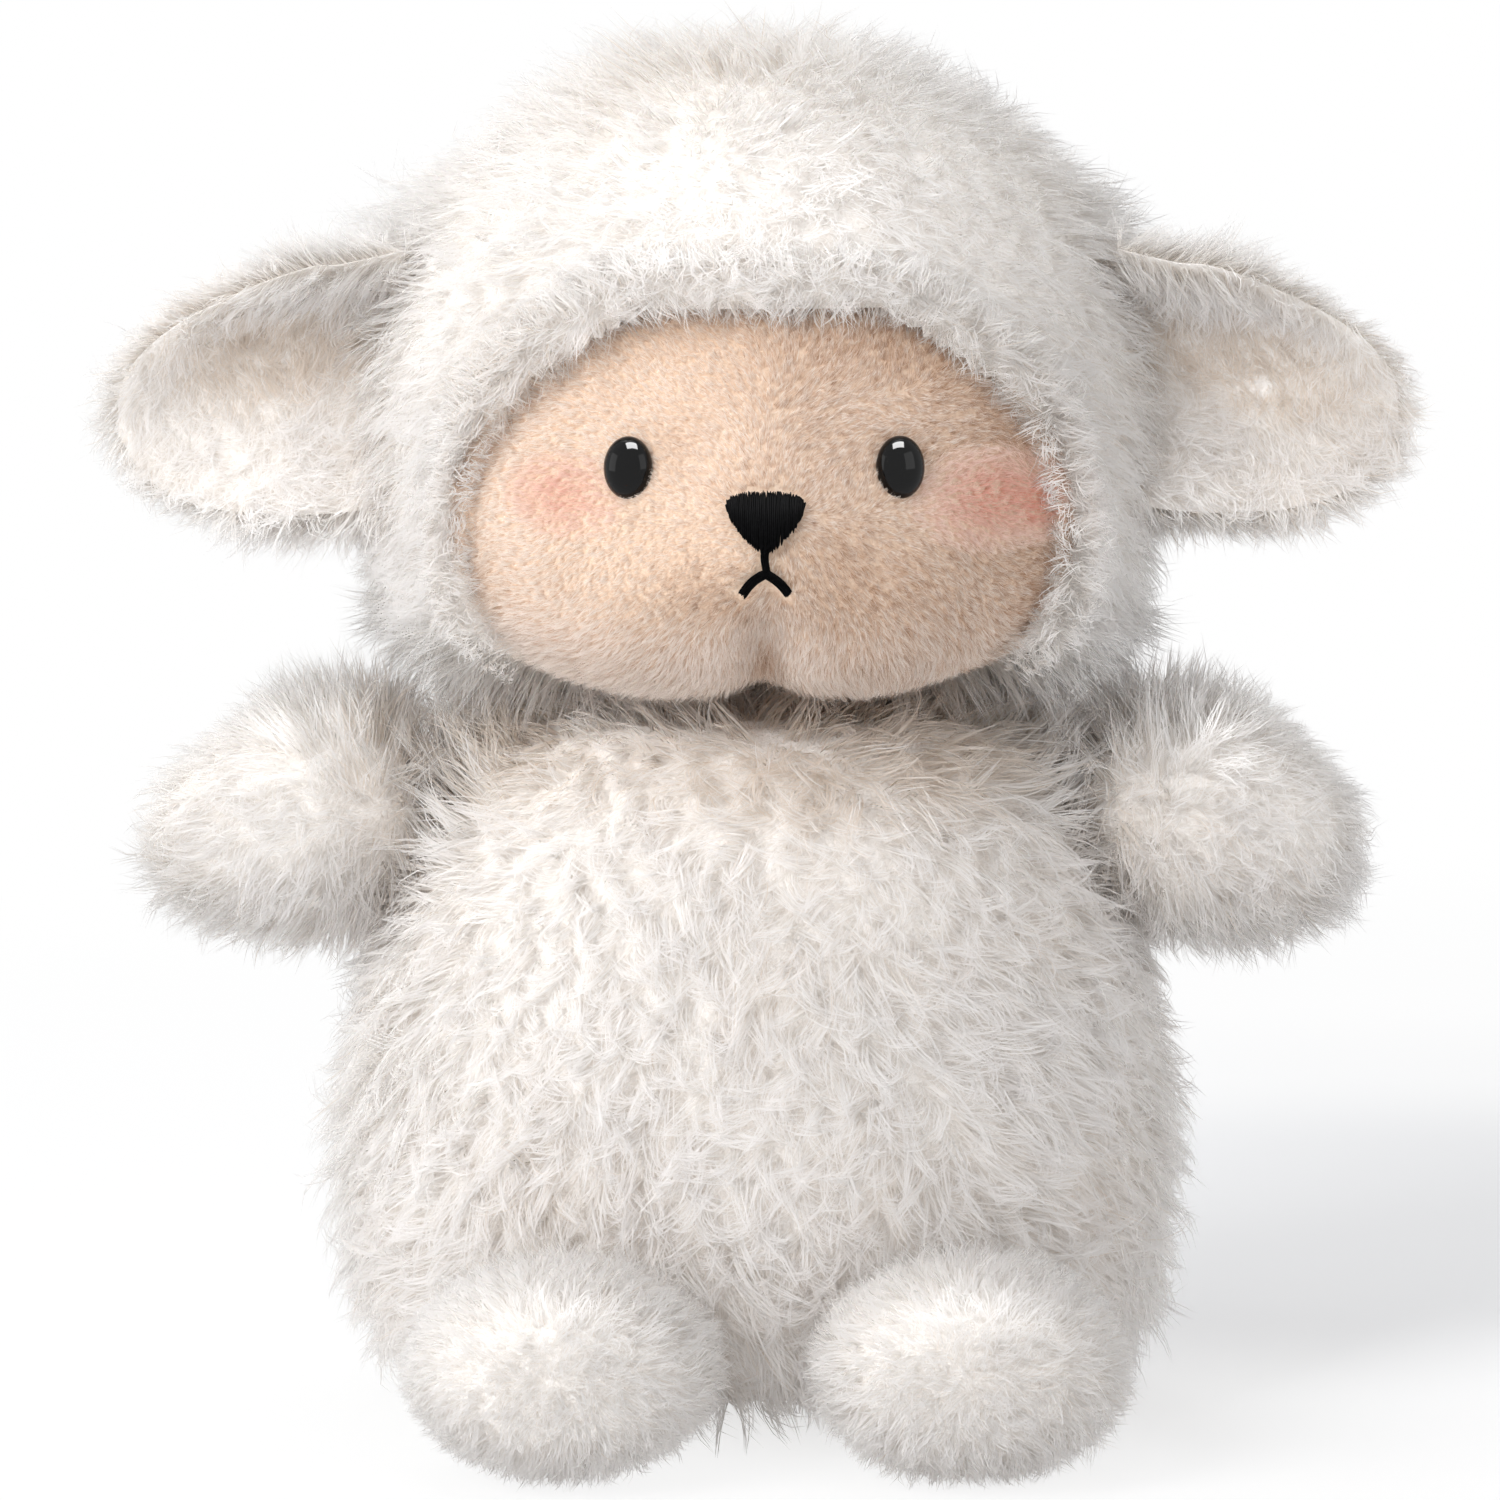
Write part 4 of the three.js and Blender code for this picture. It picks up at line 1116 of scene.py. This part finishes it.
def face_tones(places, draw):
    """Painted light and shade: lighter and smoother on the image's left and on the lower lobes, where the
    key lamp falls, browner to the right, away from it, with a blush on each cheek.
    """
    x, y, z = places.T
    count = len(x)
    up = z - FACE_BASE
    # Painted shade: browner to the right, away from the key lamp, where the grain and flecks also grow.
    right = ease("browner", x)
    drift = 0.07 * wobble(places, FACE_SHADE_REACH, 31)
    plain = 0.46 - 0.13 * right + drift + draw.normal(0, 0.07 + 0.1 * right, count)
    # Painted light: paler on the image's left and on the lower lobes, where the key lamp falls.
    plain += 0.12 * ease("paler", x) + 0.2 * ease("face base", up)
    # Painted shade below the muzzle, on the image's left.
    plain -= humps(x, z, MUZZLE_SHADES)
    # Painted shade along the hood's edge, under the brim that overhangs the face.
    plain -= 0.2 * ease("face edge", opening_depth(places))
    # Painted shade in the cleft between the lower lobes.
    plain -= 0.3 * bell(x, 0, CLEFT_SHADE_REACH) * ease("cleft", up)
    grain = 0.05 + 0.16 * right + humps(x, z, MUZZLE_FLECKS)
    plain -= 0.3 * (draw.random(count) < grain)
    plain += (0.04 + 0.1 * right) * wobble(places, FACE_GRAIN_REACH, 34)
    plain -= (0.1 + 0.25 * right) * ease("fleck share", wobble(places, FACE_FLECK_REACH, 35))
    blush = humps(x, z, BLUSHES) * (1 + draw.normal(0, 0.2, count))
    tinted = BLUSH_FROM_SHARE + (1 - BLUSH_FROM_SHARE) * np.clip(blush, 0, 1)
    return np.where(blush > 0.12, tinted, np.clip(plain, 0, 0.6))


def face_comb(places, normals):
    """Outwards from the nose, drifting to the image's left."""
    x, y, z = (places - NOSE_CENTRE * UP).T
    swirls = swirl("face", places, ACROSS, UP)
    return unit(np.stack([x, 0 * x, z], 1)) + arr(-0.35, 0, -0.15) + 0.45 * swirls


def clear_of_features(places):
    """False where an eye, the nose or the mouth covers the cloth."""
    x, y, z = places.T
    wide, tall = arr(EYE_HALF_WIDTH, EYE_HALF_HEIGHT) * EYE_CLEAR_SHARES
    eyes = ((np.abs(x) - EYE_SPREAD) / wide) ** 2 + ((z - EYE_HEIGHT) / tall) ** 2
    up = z - NOSE_CENTRE
    nose = (np.abs(x) < nose_half(up) - NOSE_CLEAR) & (np.abs(up) < NOSE_HEIGHT / 2)
    flat = places[:, [0, 2]]
    mouth = np.zeros(len(places), bool)
    for a, b in mouth_lines():
        run = np.clip((flat - a) @ (b - a) / ((b - a) @ (b - a)), 0, 1)[:, None]
        mouth |= np.linalg.norm(flat - a - run * (b - a), axis=1) < MOUTH_THREAD + MOUTH_CLEAR
    return (eyes > 1) & ~nose & ~mouth


def make_face():
    form = face_form()
    cloth = form[0]
    inside = opening_depth(cloth.reshape(-1, 3)).reshape(cloth.shape[:2])
    growth = {
        "weight": np.where(inside > FACE_WEIGHT_EDGE, 1.0, 0.0),
        "keep": lambda p: (opening_depth(p) > FACE_PILE_EDGE) & clear_of_features(p),
        "grow": lambda p, n: (1 + 0.7 * ease("chin slope", n[:, 2]), 0),
        "shown": lambda p: opening_depth(p) > FACE_CLOTH_EDGE,
    }
    inner = ["face_panel"]
    furred("face", form, 121, FACE_STYLE, riding("head"), inner, face_comb, tones=face_tones, **growth)


# Ears

def ear_matrix(side):
    root = PIVOTS[side + "_ear"] - SIDES[side] * EAR_SINK * ACROSS
    return matrix_of(root, (SIDES[side] * (math.pi / 2 + EAR_DROOP), "Y"))


def ear_form(side):
    """A cupped ear: its rows run from inside the hood to the tip, its sectors round the rim."""
    shares = (EAR_WIDTH_SHARES[0], *EAR_WIDTH_SHARES)
    lengths = (-EAR_ROOT / EAR_LENGTH, *EAR_LENGTH_SHARES)
    half_height = EAR_HALF_HEIGHT - EAR_RIM_DEPTH
    line = outline_of(shares, lengths, half_height, EAR_LENGTH - EAR_RIM_DEPTH)
    turn = turns(SECTORS)
    share = line[:, :1] / half_height
    edge = np.cos(turn) * share
    thick = np.where(np.sin(turn) < 0, EAR_FRONT_THICK, EAR_BACK_THICK) - EAR_DEPTH
    deep = np.sign(np.sin(turn)) * np.abs(np.sin(turn)) ** EAR_RIM_SHARE
    bend = EAR_CUP * edge**2 * (1 - SIDES[side] * EAR_FLAP_SHARE * edge)
    y = deep * share * thick - bend
    grid = np.stack([edge * half_height, y, np.broadcast_to(line[:, 1:], y.shape)], 2)
    grid = placed(grid, ear_matrix(side))
    return grid, normals_of(grid)


def ear_hollow(side, places):
    """1 deep in the cup, under the upper rim near the root, and 0 outside it. It sets the painted shade
    there and shortens the pile.
    """
    pivot = PIVOTS[side + "_ear"]
    up = -SIDES[side] * ((places - pivot) @ ear_matrix(side)[:3, 0]) / EAR_HALF_HEIGHT
    run = np.abs(places[:, 0] - pivot[0]) / EAR_LENGTH
    apart = np.sqrt(((up - 0.22) / 0.5) ** 2 + ((run - 0.25) / 0.5) ** 2)
    return ease("ear hollow share", apart) * (places[:, 1] < pivot[1])


def make_ear(side):
    matrix = ear_matrix(side)
    pivot = PIVOTS[side + "_ear"]
    across, along = matrix[:3, 0], matrix[:3, 2]

    def comb(places, normals):
        """Towards the tip and over the rim, and down inside the cup."""
        edge = (places - pivot) @ across / EAR_HALF_HEIGHT
        over = (ease("ear over share", np.abs(edge)) * np.sign(edge))[:, None]
        inside = ease("ear front slope", -normals[:, 1]) * ease("ear cup share", np.abs(edge))
        inside = inside[:, None]
        swirls = swirl("ear", places, UP, ACROSS)
        way = along * 0.8 + arr(0, 0, -0.3) + 1.3 * over * across + 0.5 * swirls
        return way * (1 - inside) + inside * (along * 0.5 + arr(0, 0, -0.9) + 0.5 * swirls)

    def grow(places, normals):
        """Longer and more upright round the rim and at the seam."""
        edge = np.abs((places - pivot) @ across) / EAR_HALF_HEIGHT
        run = (places - pivot) @ along
        rim = np.maximum(ease("ear tip share", run / EAR_LENGTH), ease("ear rim share", edge))
        share = 1.15 + 0.35 * rim + 0.15 * ease("ear seam", run) - 0.4 * ear_hollow(side, places)
        before = EAR_FRONT_RAISE * ease("ear front slope", -normals[:, 1])
        raised = EAR_SEAM_RAISE * ease("ear seam raise", run) + EAR_RIM_RAISE * rim + before * (1 - rim)
        return EAR_PILE_SHARES[side] * share, raised

    def tones(places, draw):
        """Painted shade: warmer and darker in the hollow, and darker all over on the left ear, away from
        the key lamp.
        """
        return long_tones(places, draw) - 0.5 * ear_hollow(side, places) - EAR_SHADE_SHARES[side]

    form = ear_form(side)
    weight = 1 + 1.5 * ease("ear edge slope", np.abs(form[1] @ matrix[:3, 1]))
    furred_limb("ear", side, form, 131, along, comb, tones=tones, weight=weight, grow=grow)


# Arms and legs

def limb_form(widths, lengths, half_width, length, half_height, matrix, depth):
    line = outline_of(widths, lengths, half_width, length, LIMB_ROWS)
    grid = lathe(line, half_width, half_height, half_height, LIMB_SECTORS)
    return sunk(placed(grid, matrix), depth)


def make_arm(side):
    pivot = PIVOTS[side + "_arm"]
    sign = SIDES[side]
    matrix = matrix_of(pivot, (-sign * ARM_FORWARD[side], "Z"), (sign * (math.pi / 2 + ARM_DROOP), "Y"))
    shares = (ARM_WIDTH_SHARES, ARM_LENGTH_SHARES)
    form = limb_form(*shares, ARM_HALF_WIDTH, ARM_LENGTH, ARM_HALF_WIDTH, matrix, ARM_DEPTH)
    way = matrix[:3, 2]

    def near(places, normals):
        """1 on the shoulder, where the arm's pile meets the hood's, and 0 away from it."""
        return ease("arm top", (places - pivot) @ way) * ease("arm top slope", normals[:, 2])

    def comb(places, normals):
        """Along the arm and a little down, and up at the shoulder."""
        shoulder = near(places, normals)[:, None]
        swirls = swirl("arm", places, BACK, UP)
        return way * (1 - 0.7 * shoulder) + UP * (1.3 * shoulder - 0.35) + 0.5 * swirls

    def grow(places, normals):
        """Longer and more upright on the shoulder and below."""
        shoulder = near(places, normals)
        low = ease("arm low slope", normals[:, 2])
        return 1 + 0.75 * shoulder + 0.3 * low, ARM_TOP_RAISE * shoulder + ARM_LOW_RAISE * low

    def tones(places, draw):
        """Painted shade: warmer and darker in the crease at the shoulder."""
        return long_tones(places, draw) - 0.3 * ease("arm crease", (places - pivot) @ way)

    furred_limb("arm", side, form, 141, way, comb, tones=tones, grow=grow)


def make_leg(side):
    pivot = PIVOTS[side + "_leg"]
    matrix = matrix_of(pivot, (math.pi / 2, "X"))
    shares = (LEG_WIDTH_SHARES, LEG_LENGTH_SHARES)
    form = limb_form(*shares, LEG_HALF_WIDTH, LEG_LENGTH, LEG_HALF_HEIGHT, matrix, LEG_DEPTH)
    way = matrix[:3, 2]

    def comb(places, normals):
        """Outwards from the leg's axis, a little back and down."""
        radial = places - pivot
        radial = unit(radial - (radial @ way)[:, None] * way)
        return radial + arr(0, 0.4, -0.4) + 0.6 * swirl("leg", places, ACROSS, UP)

    furred_limb("leg", side, form, 151, way, comb)


# Eyes, nose and mouth

EYE_BLACK = (0.002, 0.002, 0.0022, 1)
THREAD_BLACKS = [(0.35, (0.0012, 0.0012, 0.0014)), (0.75, (0.004, 0.004, 0.0045))]


def gloss_material():
    made, tree, skin = shader("eye_gloss")
    uneven = {"To Min": 0.03, "To Max": 0.07, "Value": noise(tree, EYE_GRAIN)}
    rough = node(tree, "MapRange", uneven).outputs["Result"]
    feed(tree, skin, {"Base Color": EYE_BLACK, "Specular IOR Level": 0.22, "Roughness": rough})
    return made


def thread_material():
    made, tree, skin = shader("black_thread")
    colour = ramp(tree, THREAD_BLACKS, noise(tree, THREAD_GRAIN))
    feed(tree, skin, {"Base Color": colour, "Roughness": 0.5, "Specular IOR Level": 0.02})
    return made


EYE_GLOSS = gloss_material()
BLACK_THREAD = thread_material()


def make_eye(side):
    """A domed oval button, seated in the pile, with its rounded rim."""
    sign = SIDES[side]
    turn = np.linspace(0, math.pi / 2, EYE_ROWS)
    dome = np.stack([np.cos(turn), EYE_RIM - EYE_SINK + (EYE_DOME - EYE_RIM) * np.sin(turn)], 1)
    foot = [[0, -EYE_SINK], [EYE_FOOT_SHARE, -EYE_SINK], [1, EYE_BEVEL - EYE_SINK]]
    line = np.vstack([foot, dome])
    line[:, 0] *= EYE_HALF_HEIGHT
    line[-1, 0] = 0
    grid = lathe(line, EYE_HALF_HEIGHT, EYE_HALF_HEIGHT, EYE_HALF_HEIGHT, EYE_SECTORS)
    grid[..., 0] *= EYE_HALF_WIDTH / EYE_HALF_HEIGHT
    outward = direction(sign * EYE_YAW, EYE_PITCH)
    sideways = Vector((0, 0, 1)).cross(outward).normalized()
    matrix = np.eye(4)
    matrix[:3, 0], matrix[:3, 1], matrix[:3, 2] = sideways, outward.cross(sideways), outward
    matrix[:3, 3] = on_face(sign * EYE_SPREAD, EYE_HEIGHT)
    points = placed(grid, matrix).reshape(-1, 3)
    made = mesh_piece("eye_" + side + "_button", points, grid_faces(*grid.shape[:2]), EYE_GLOSS)
    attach(made, "head")
    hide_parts("eye_" + side)


def make_washers():
    """Moulded plastic on the washers behind the face, which the frame brings."""
    made, tree, skin = shader("washer_plastic")
    grain = noise(tree, WASHER_GRAIN)
    colour = ramp(tree, [(0.3, srgb(222, 222, 218)), (0.7, srgb(236, 236, 232))], grain)
    feed(tree, skin, {"Base Color": colour, "Normal": relief(tree, grain, 0.15), "Roughness": 0.35})
    for side in SIDES:
        washer = bpy.data.objects["eye_washer_" + side]
        washer.data.materials.clear()
        washer.data.materials.append(made)


def nose_half(up):
    """Half the width of the nose at a height above its middle."""
    share = (up + NOSE_HEIGHT / 2) / NOSE_HEIGHT
    return np.interp(share, NOSE_HEIGHT_SHARES, NOSE_WIDTH_SHARES) * NOSE_HALF_WIDTH


def thread_tubes(name, paths, radii, sides=6):
    """Round threads along paths with as many points each, with closed ends."""
    paths = np.asarray(paths, float)
    threads, levels, _ = paths.shape
    along = unit(np.gradient(paths, axis=1))
    side = unit(np.cross(along, arr(0.02, 1, 0.03)))
    rise = np.cross(side, along)
    turn = turns(sides)
    ring = np.cos(turn)[:, None] * side[:, :, None] + np.sin(turn)[:, None] * rise[:, :, None]
    taper = np.ones(levels)
    taper[[0, -1]] = 0.45
    thick = np.broadcast_to(radii[:, None], (threads, levels)) * taper
    points = paths[:, :, None] + ring * thick[..., None, None]
    each = levels * sides
    walls = grid_faces(levels, sides)
    ends = np.arange(sides)
    corners = np.r_[walls.ravel(), ends[::-1], ends + each - sides]
    sizes = np.r_[np.full(len(walls), 4), sides, sides]
    corners = (corners + (np.arange(threads) * each)[:, None]).ravel()
    return fill_mesh(name, points.reshape(-1, 3), corners, np.tile(sizes, threads), BLACK_THREAD)


def make_nose():
    """Upright satin stitches side by side over a padded nose, with ragged ends."""
    draw = np.random.default_rng(161)
    half = NOSE_HALF_WIDTH
    across = np.arange(-half, half, STITCH_PITCH)
    fine = np.linspace(-NOSE_HEIGHT / 2, NOSE_HEIGHT / 2, 200)
    arch = np.sin(np.linspace(0.1, 0.9, STITCH_POINTS) * math.pi) ** 0.45
    paths = []
    for layer in range(2):
        for x in across + layer * STITCH_PITCH / 2:
            inside = fine[nose_half(fine) > abs(x)]
            if len(inside) < 12:
                continue
            low = inside[0] + draw.normal(0, NOSE_RAGGED[0])
            high = inside[-1] + draw.normal(0, NOSE_RAGGED[1])
            up = np.linspace(low, high, STITCH_POINTS)
            bulge = NOSE_PROUD * (1 - (x / half) ** 4) * arch
            lean = draw.normal(0, NOSE_LEAN) + NOSE_FAN_SHARE * x
            place = on_face(x + lean * np.linspace(-1, 1, STITCH_POINTS), NOSE_CENTRE + up)
            place[:, 1] -= bulge * (1 - NOSE_LAYER_SHARE * layer) + draw.normal(0, NOSE_UNEVEN)
            paths.append(place)
    nose = thread_tubes("nose_satin", paths, draw.uniform(*NOSE_THREADS, len(paths)))
    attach(nose, "head")
    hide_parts("nose_stitching")


def mouth_lines():
    """The ends of the stem and of the two arms of the mouth, across and up."""
    foot = NOSE_CENTRE - NOSE_HEIGHT / 2
    fork = arr(0, foot - MOUTH_STEM)
    start = fork + arr(0, MOUTH_CROSSING)
    arms = [(start, fork + arr(s * MOUTH_HALF_WIDTH, -MOUTH_DROP)) for s in (-1, 1)]
    return [(arr(0, foot + MOUTH_TUCK), fork), *arms]


def make_mouth():
    """Strands of thread laid together: the stem under the nose and the two arms of the mouth."""
    draw = np.random.default_rng(162)
    paths = []
    for k, (a, b) in enumerate(mouth_lines()):
        way = unit(b - a)
        side = arr(-way[1], way[0])
        for j in range(-3, 4):
            t = np.linspace(-0.04 + draw.normal(0, 0.02), 1.04 + draw.normal(0, 0.02), STITCH_POINTS)
            sway = (j / 3) * MOUTH_THREAD
            if k == 0:
                shift = sway * MOUTH_STEM_SHARE + MOUTH_TWISTS[0] * np.sin(t * 5 + j)
            else:
                bow = MOUTH_BOW * np.sin(t * math.pi) * (-1 if k == 1 else 1)
                shift = sway + MOUTH_TWISTS[1] * np.sin(t * 4 + j) + bow
            flat = a + (b - a) * t[:, None] + side * shift[:, None]
            round_share = math.sqrt(max(0, 1 - (j / 3.6) ** 2))
            proud = MOUTH_PROUD * round_share - MOUTH_SINK + draw.normal(0, MOUTH_UNEVEN)
            paths.append(on_face(flat[:, 0], flat[:, 1], proud))
    mouth = thread_tubes("mouth_thread", paths, draw.uniform(*MOUTH_THREADS, len(paths)))
    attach(mouth, "head")
    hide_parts("mouth_stitching")


# Studio

def looking(name, data, place, way):
    """A lamp or camera at a place, which looks along a way."""
    made = bpy.data.objects.new(name, data)
    bpy.context.scene.collection.objects.link(made)
    made.location = place
    made.rotation_mode = "QUATERNION"
    made.rotation_quaternion = way.to_track_quat("-Z", "Y")
    return made


def seen_directly(tree):
    """1 for what the camera sees straight on, in a mirror or through glass, and else 0."""
    path = node(tree, "LightPath")
    found = path.outputs["Is Camera Ray"]
    for kind in ("Is Glossy Ray", "Is Transmission Ray"):
        found = node(tree, "Math", {0: found, 1: path.outputs[kind]}, operation="MAXIMUM").outputs[0]
    return found


def plain_floor():
    """White away from the toy and for its light. The toy's shadow shows near it."""
    made, tree, skin = shader("studio_floor")
    feed(tree, skin, {"Base Color": (0.96, 0.96, 0.965, 1), "Roughness": 0.9, "Specular IOR Level": 0.1})
    glow = node(tree, "Emission", {"Color": (1, 1, 1, 1), "Strength": 1})
    place = node(tree, "TexCoord").outputs["Object"]
    far = node(tree, "VectorMath", {0: place, 1: Vector(FLOOR_SHADE) * MM}, operation="DISTANCE")
    out = node(tree, "MapRange", {"From Max": FLOOR_FAR * MM, "Value": far.outputs["Value"]})
    stops = [(place, (share,) * 3) for place, share in FLOOR_GLOW_SHARES]
    share = ramp(tree, stops, out.outputs["Result"], "EASE")
    seen = node(tree, "Math", {0: share, 1: seen_directly(tree)}, operation="MULTIPLY").outputs[0]
    mixed(tree, seen, skin, glow)
    corners = arr([-1, -1, 0], [1, -1, 0], [1, 1, 0], [-1, 1, 0]) * FLOOR_SIZE
    floor = mesh_piece("studio_floor", corners, np.array([[0, 1, 2, 3]]), made)


def lamp(name, place, size, power):
    made = bpy.data.lights.new(name, "AREA")
    made.shape = "RECTANGLE"
    made.size, made.size_y = size[0] * MM, size[1] * MM
    made.energy = power
    place = Vector(place) * MM
    return looking(name, made, place, Vector(LAMP_AIM) * MM - place)


def studio():
    plain_floor()
    lamps = {name: lamp(name, *values) for name, values in LAMPS.items()}
    lamps["catch_lamp"].visible_diffuse = False
    lamps["key_lamp"].visible_glossy = False
    world = bpy.data.worlds.new("studio_world")
    scene = bpy.context.scene
    scene.world = world
    world.use_nodes = True
    tree = world.node_tree
    plain = tree.nodes["Background"]
    feed(tree, plain, {"Color": (0.97, 0.98, 1.0, 1), "Strength": 0.5})
    white = node(tree, "Background", {"Color": (1, 1, 1, 1), "Strength": 1})
    mixed(tree, seen_directly(tree), plain, white, "World Output")
    scene.view_settings.view_transform = "Standard"
    scene.cycles.max_bounces = LIGHT_BOUNCES
    scene.cycles.diffuse_bounces = LIGHT_BOUNCES
    scene.cycles.transmission_bounces = LIGHT_BOUNCES


def camera():
    made = bpy.data.cameras.new("camera")
    made.sensor_width = SENSOR
    made.lens = SENSOR * CAMERA_DISTANCE / CAMERA_FRAME
    made.clip_start = CAMERA_NEAR * MM
    back = direction(CAMERA_AZIMUTH, CAMERA_ELEVATION)
    place = (Vector(CAMERA_AIM) + back * CAMERA_DISTANCE) * MM
    bpy.context.scene.camera = looking("camera", made, place, -back)


make_body()
make_tail()
make_neck()
make_hood()
make_face()
make_nose()
make_mouth()
make_washers()
for name in SIDES:
    make_ear(name)
    make_arm(name)
    make_leg(name)
    make_eye(name)
studio()
camera()
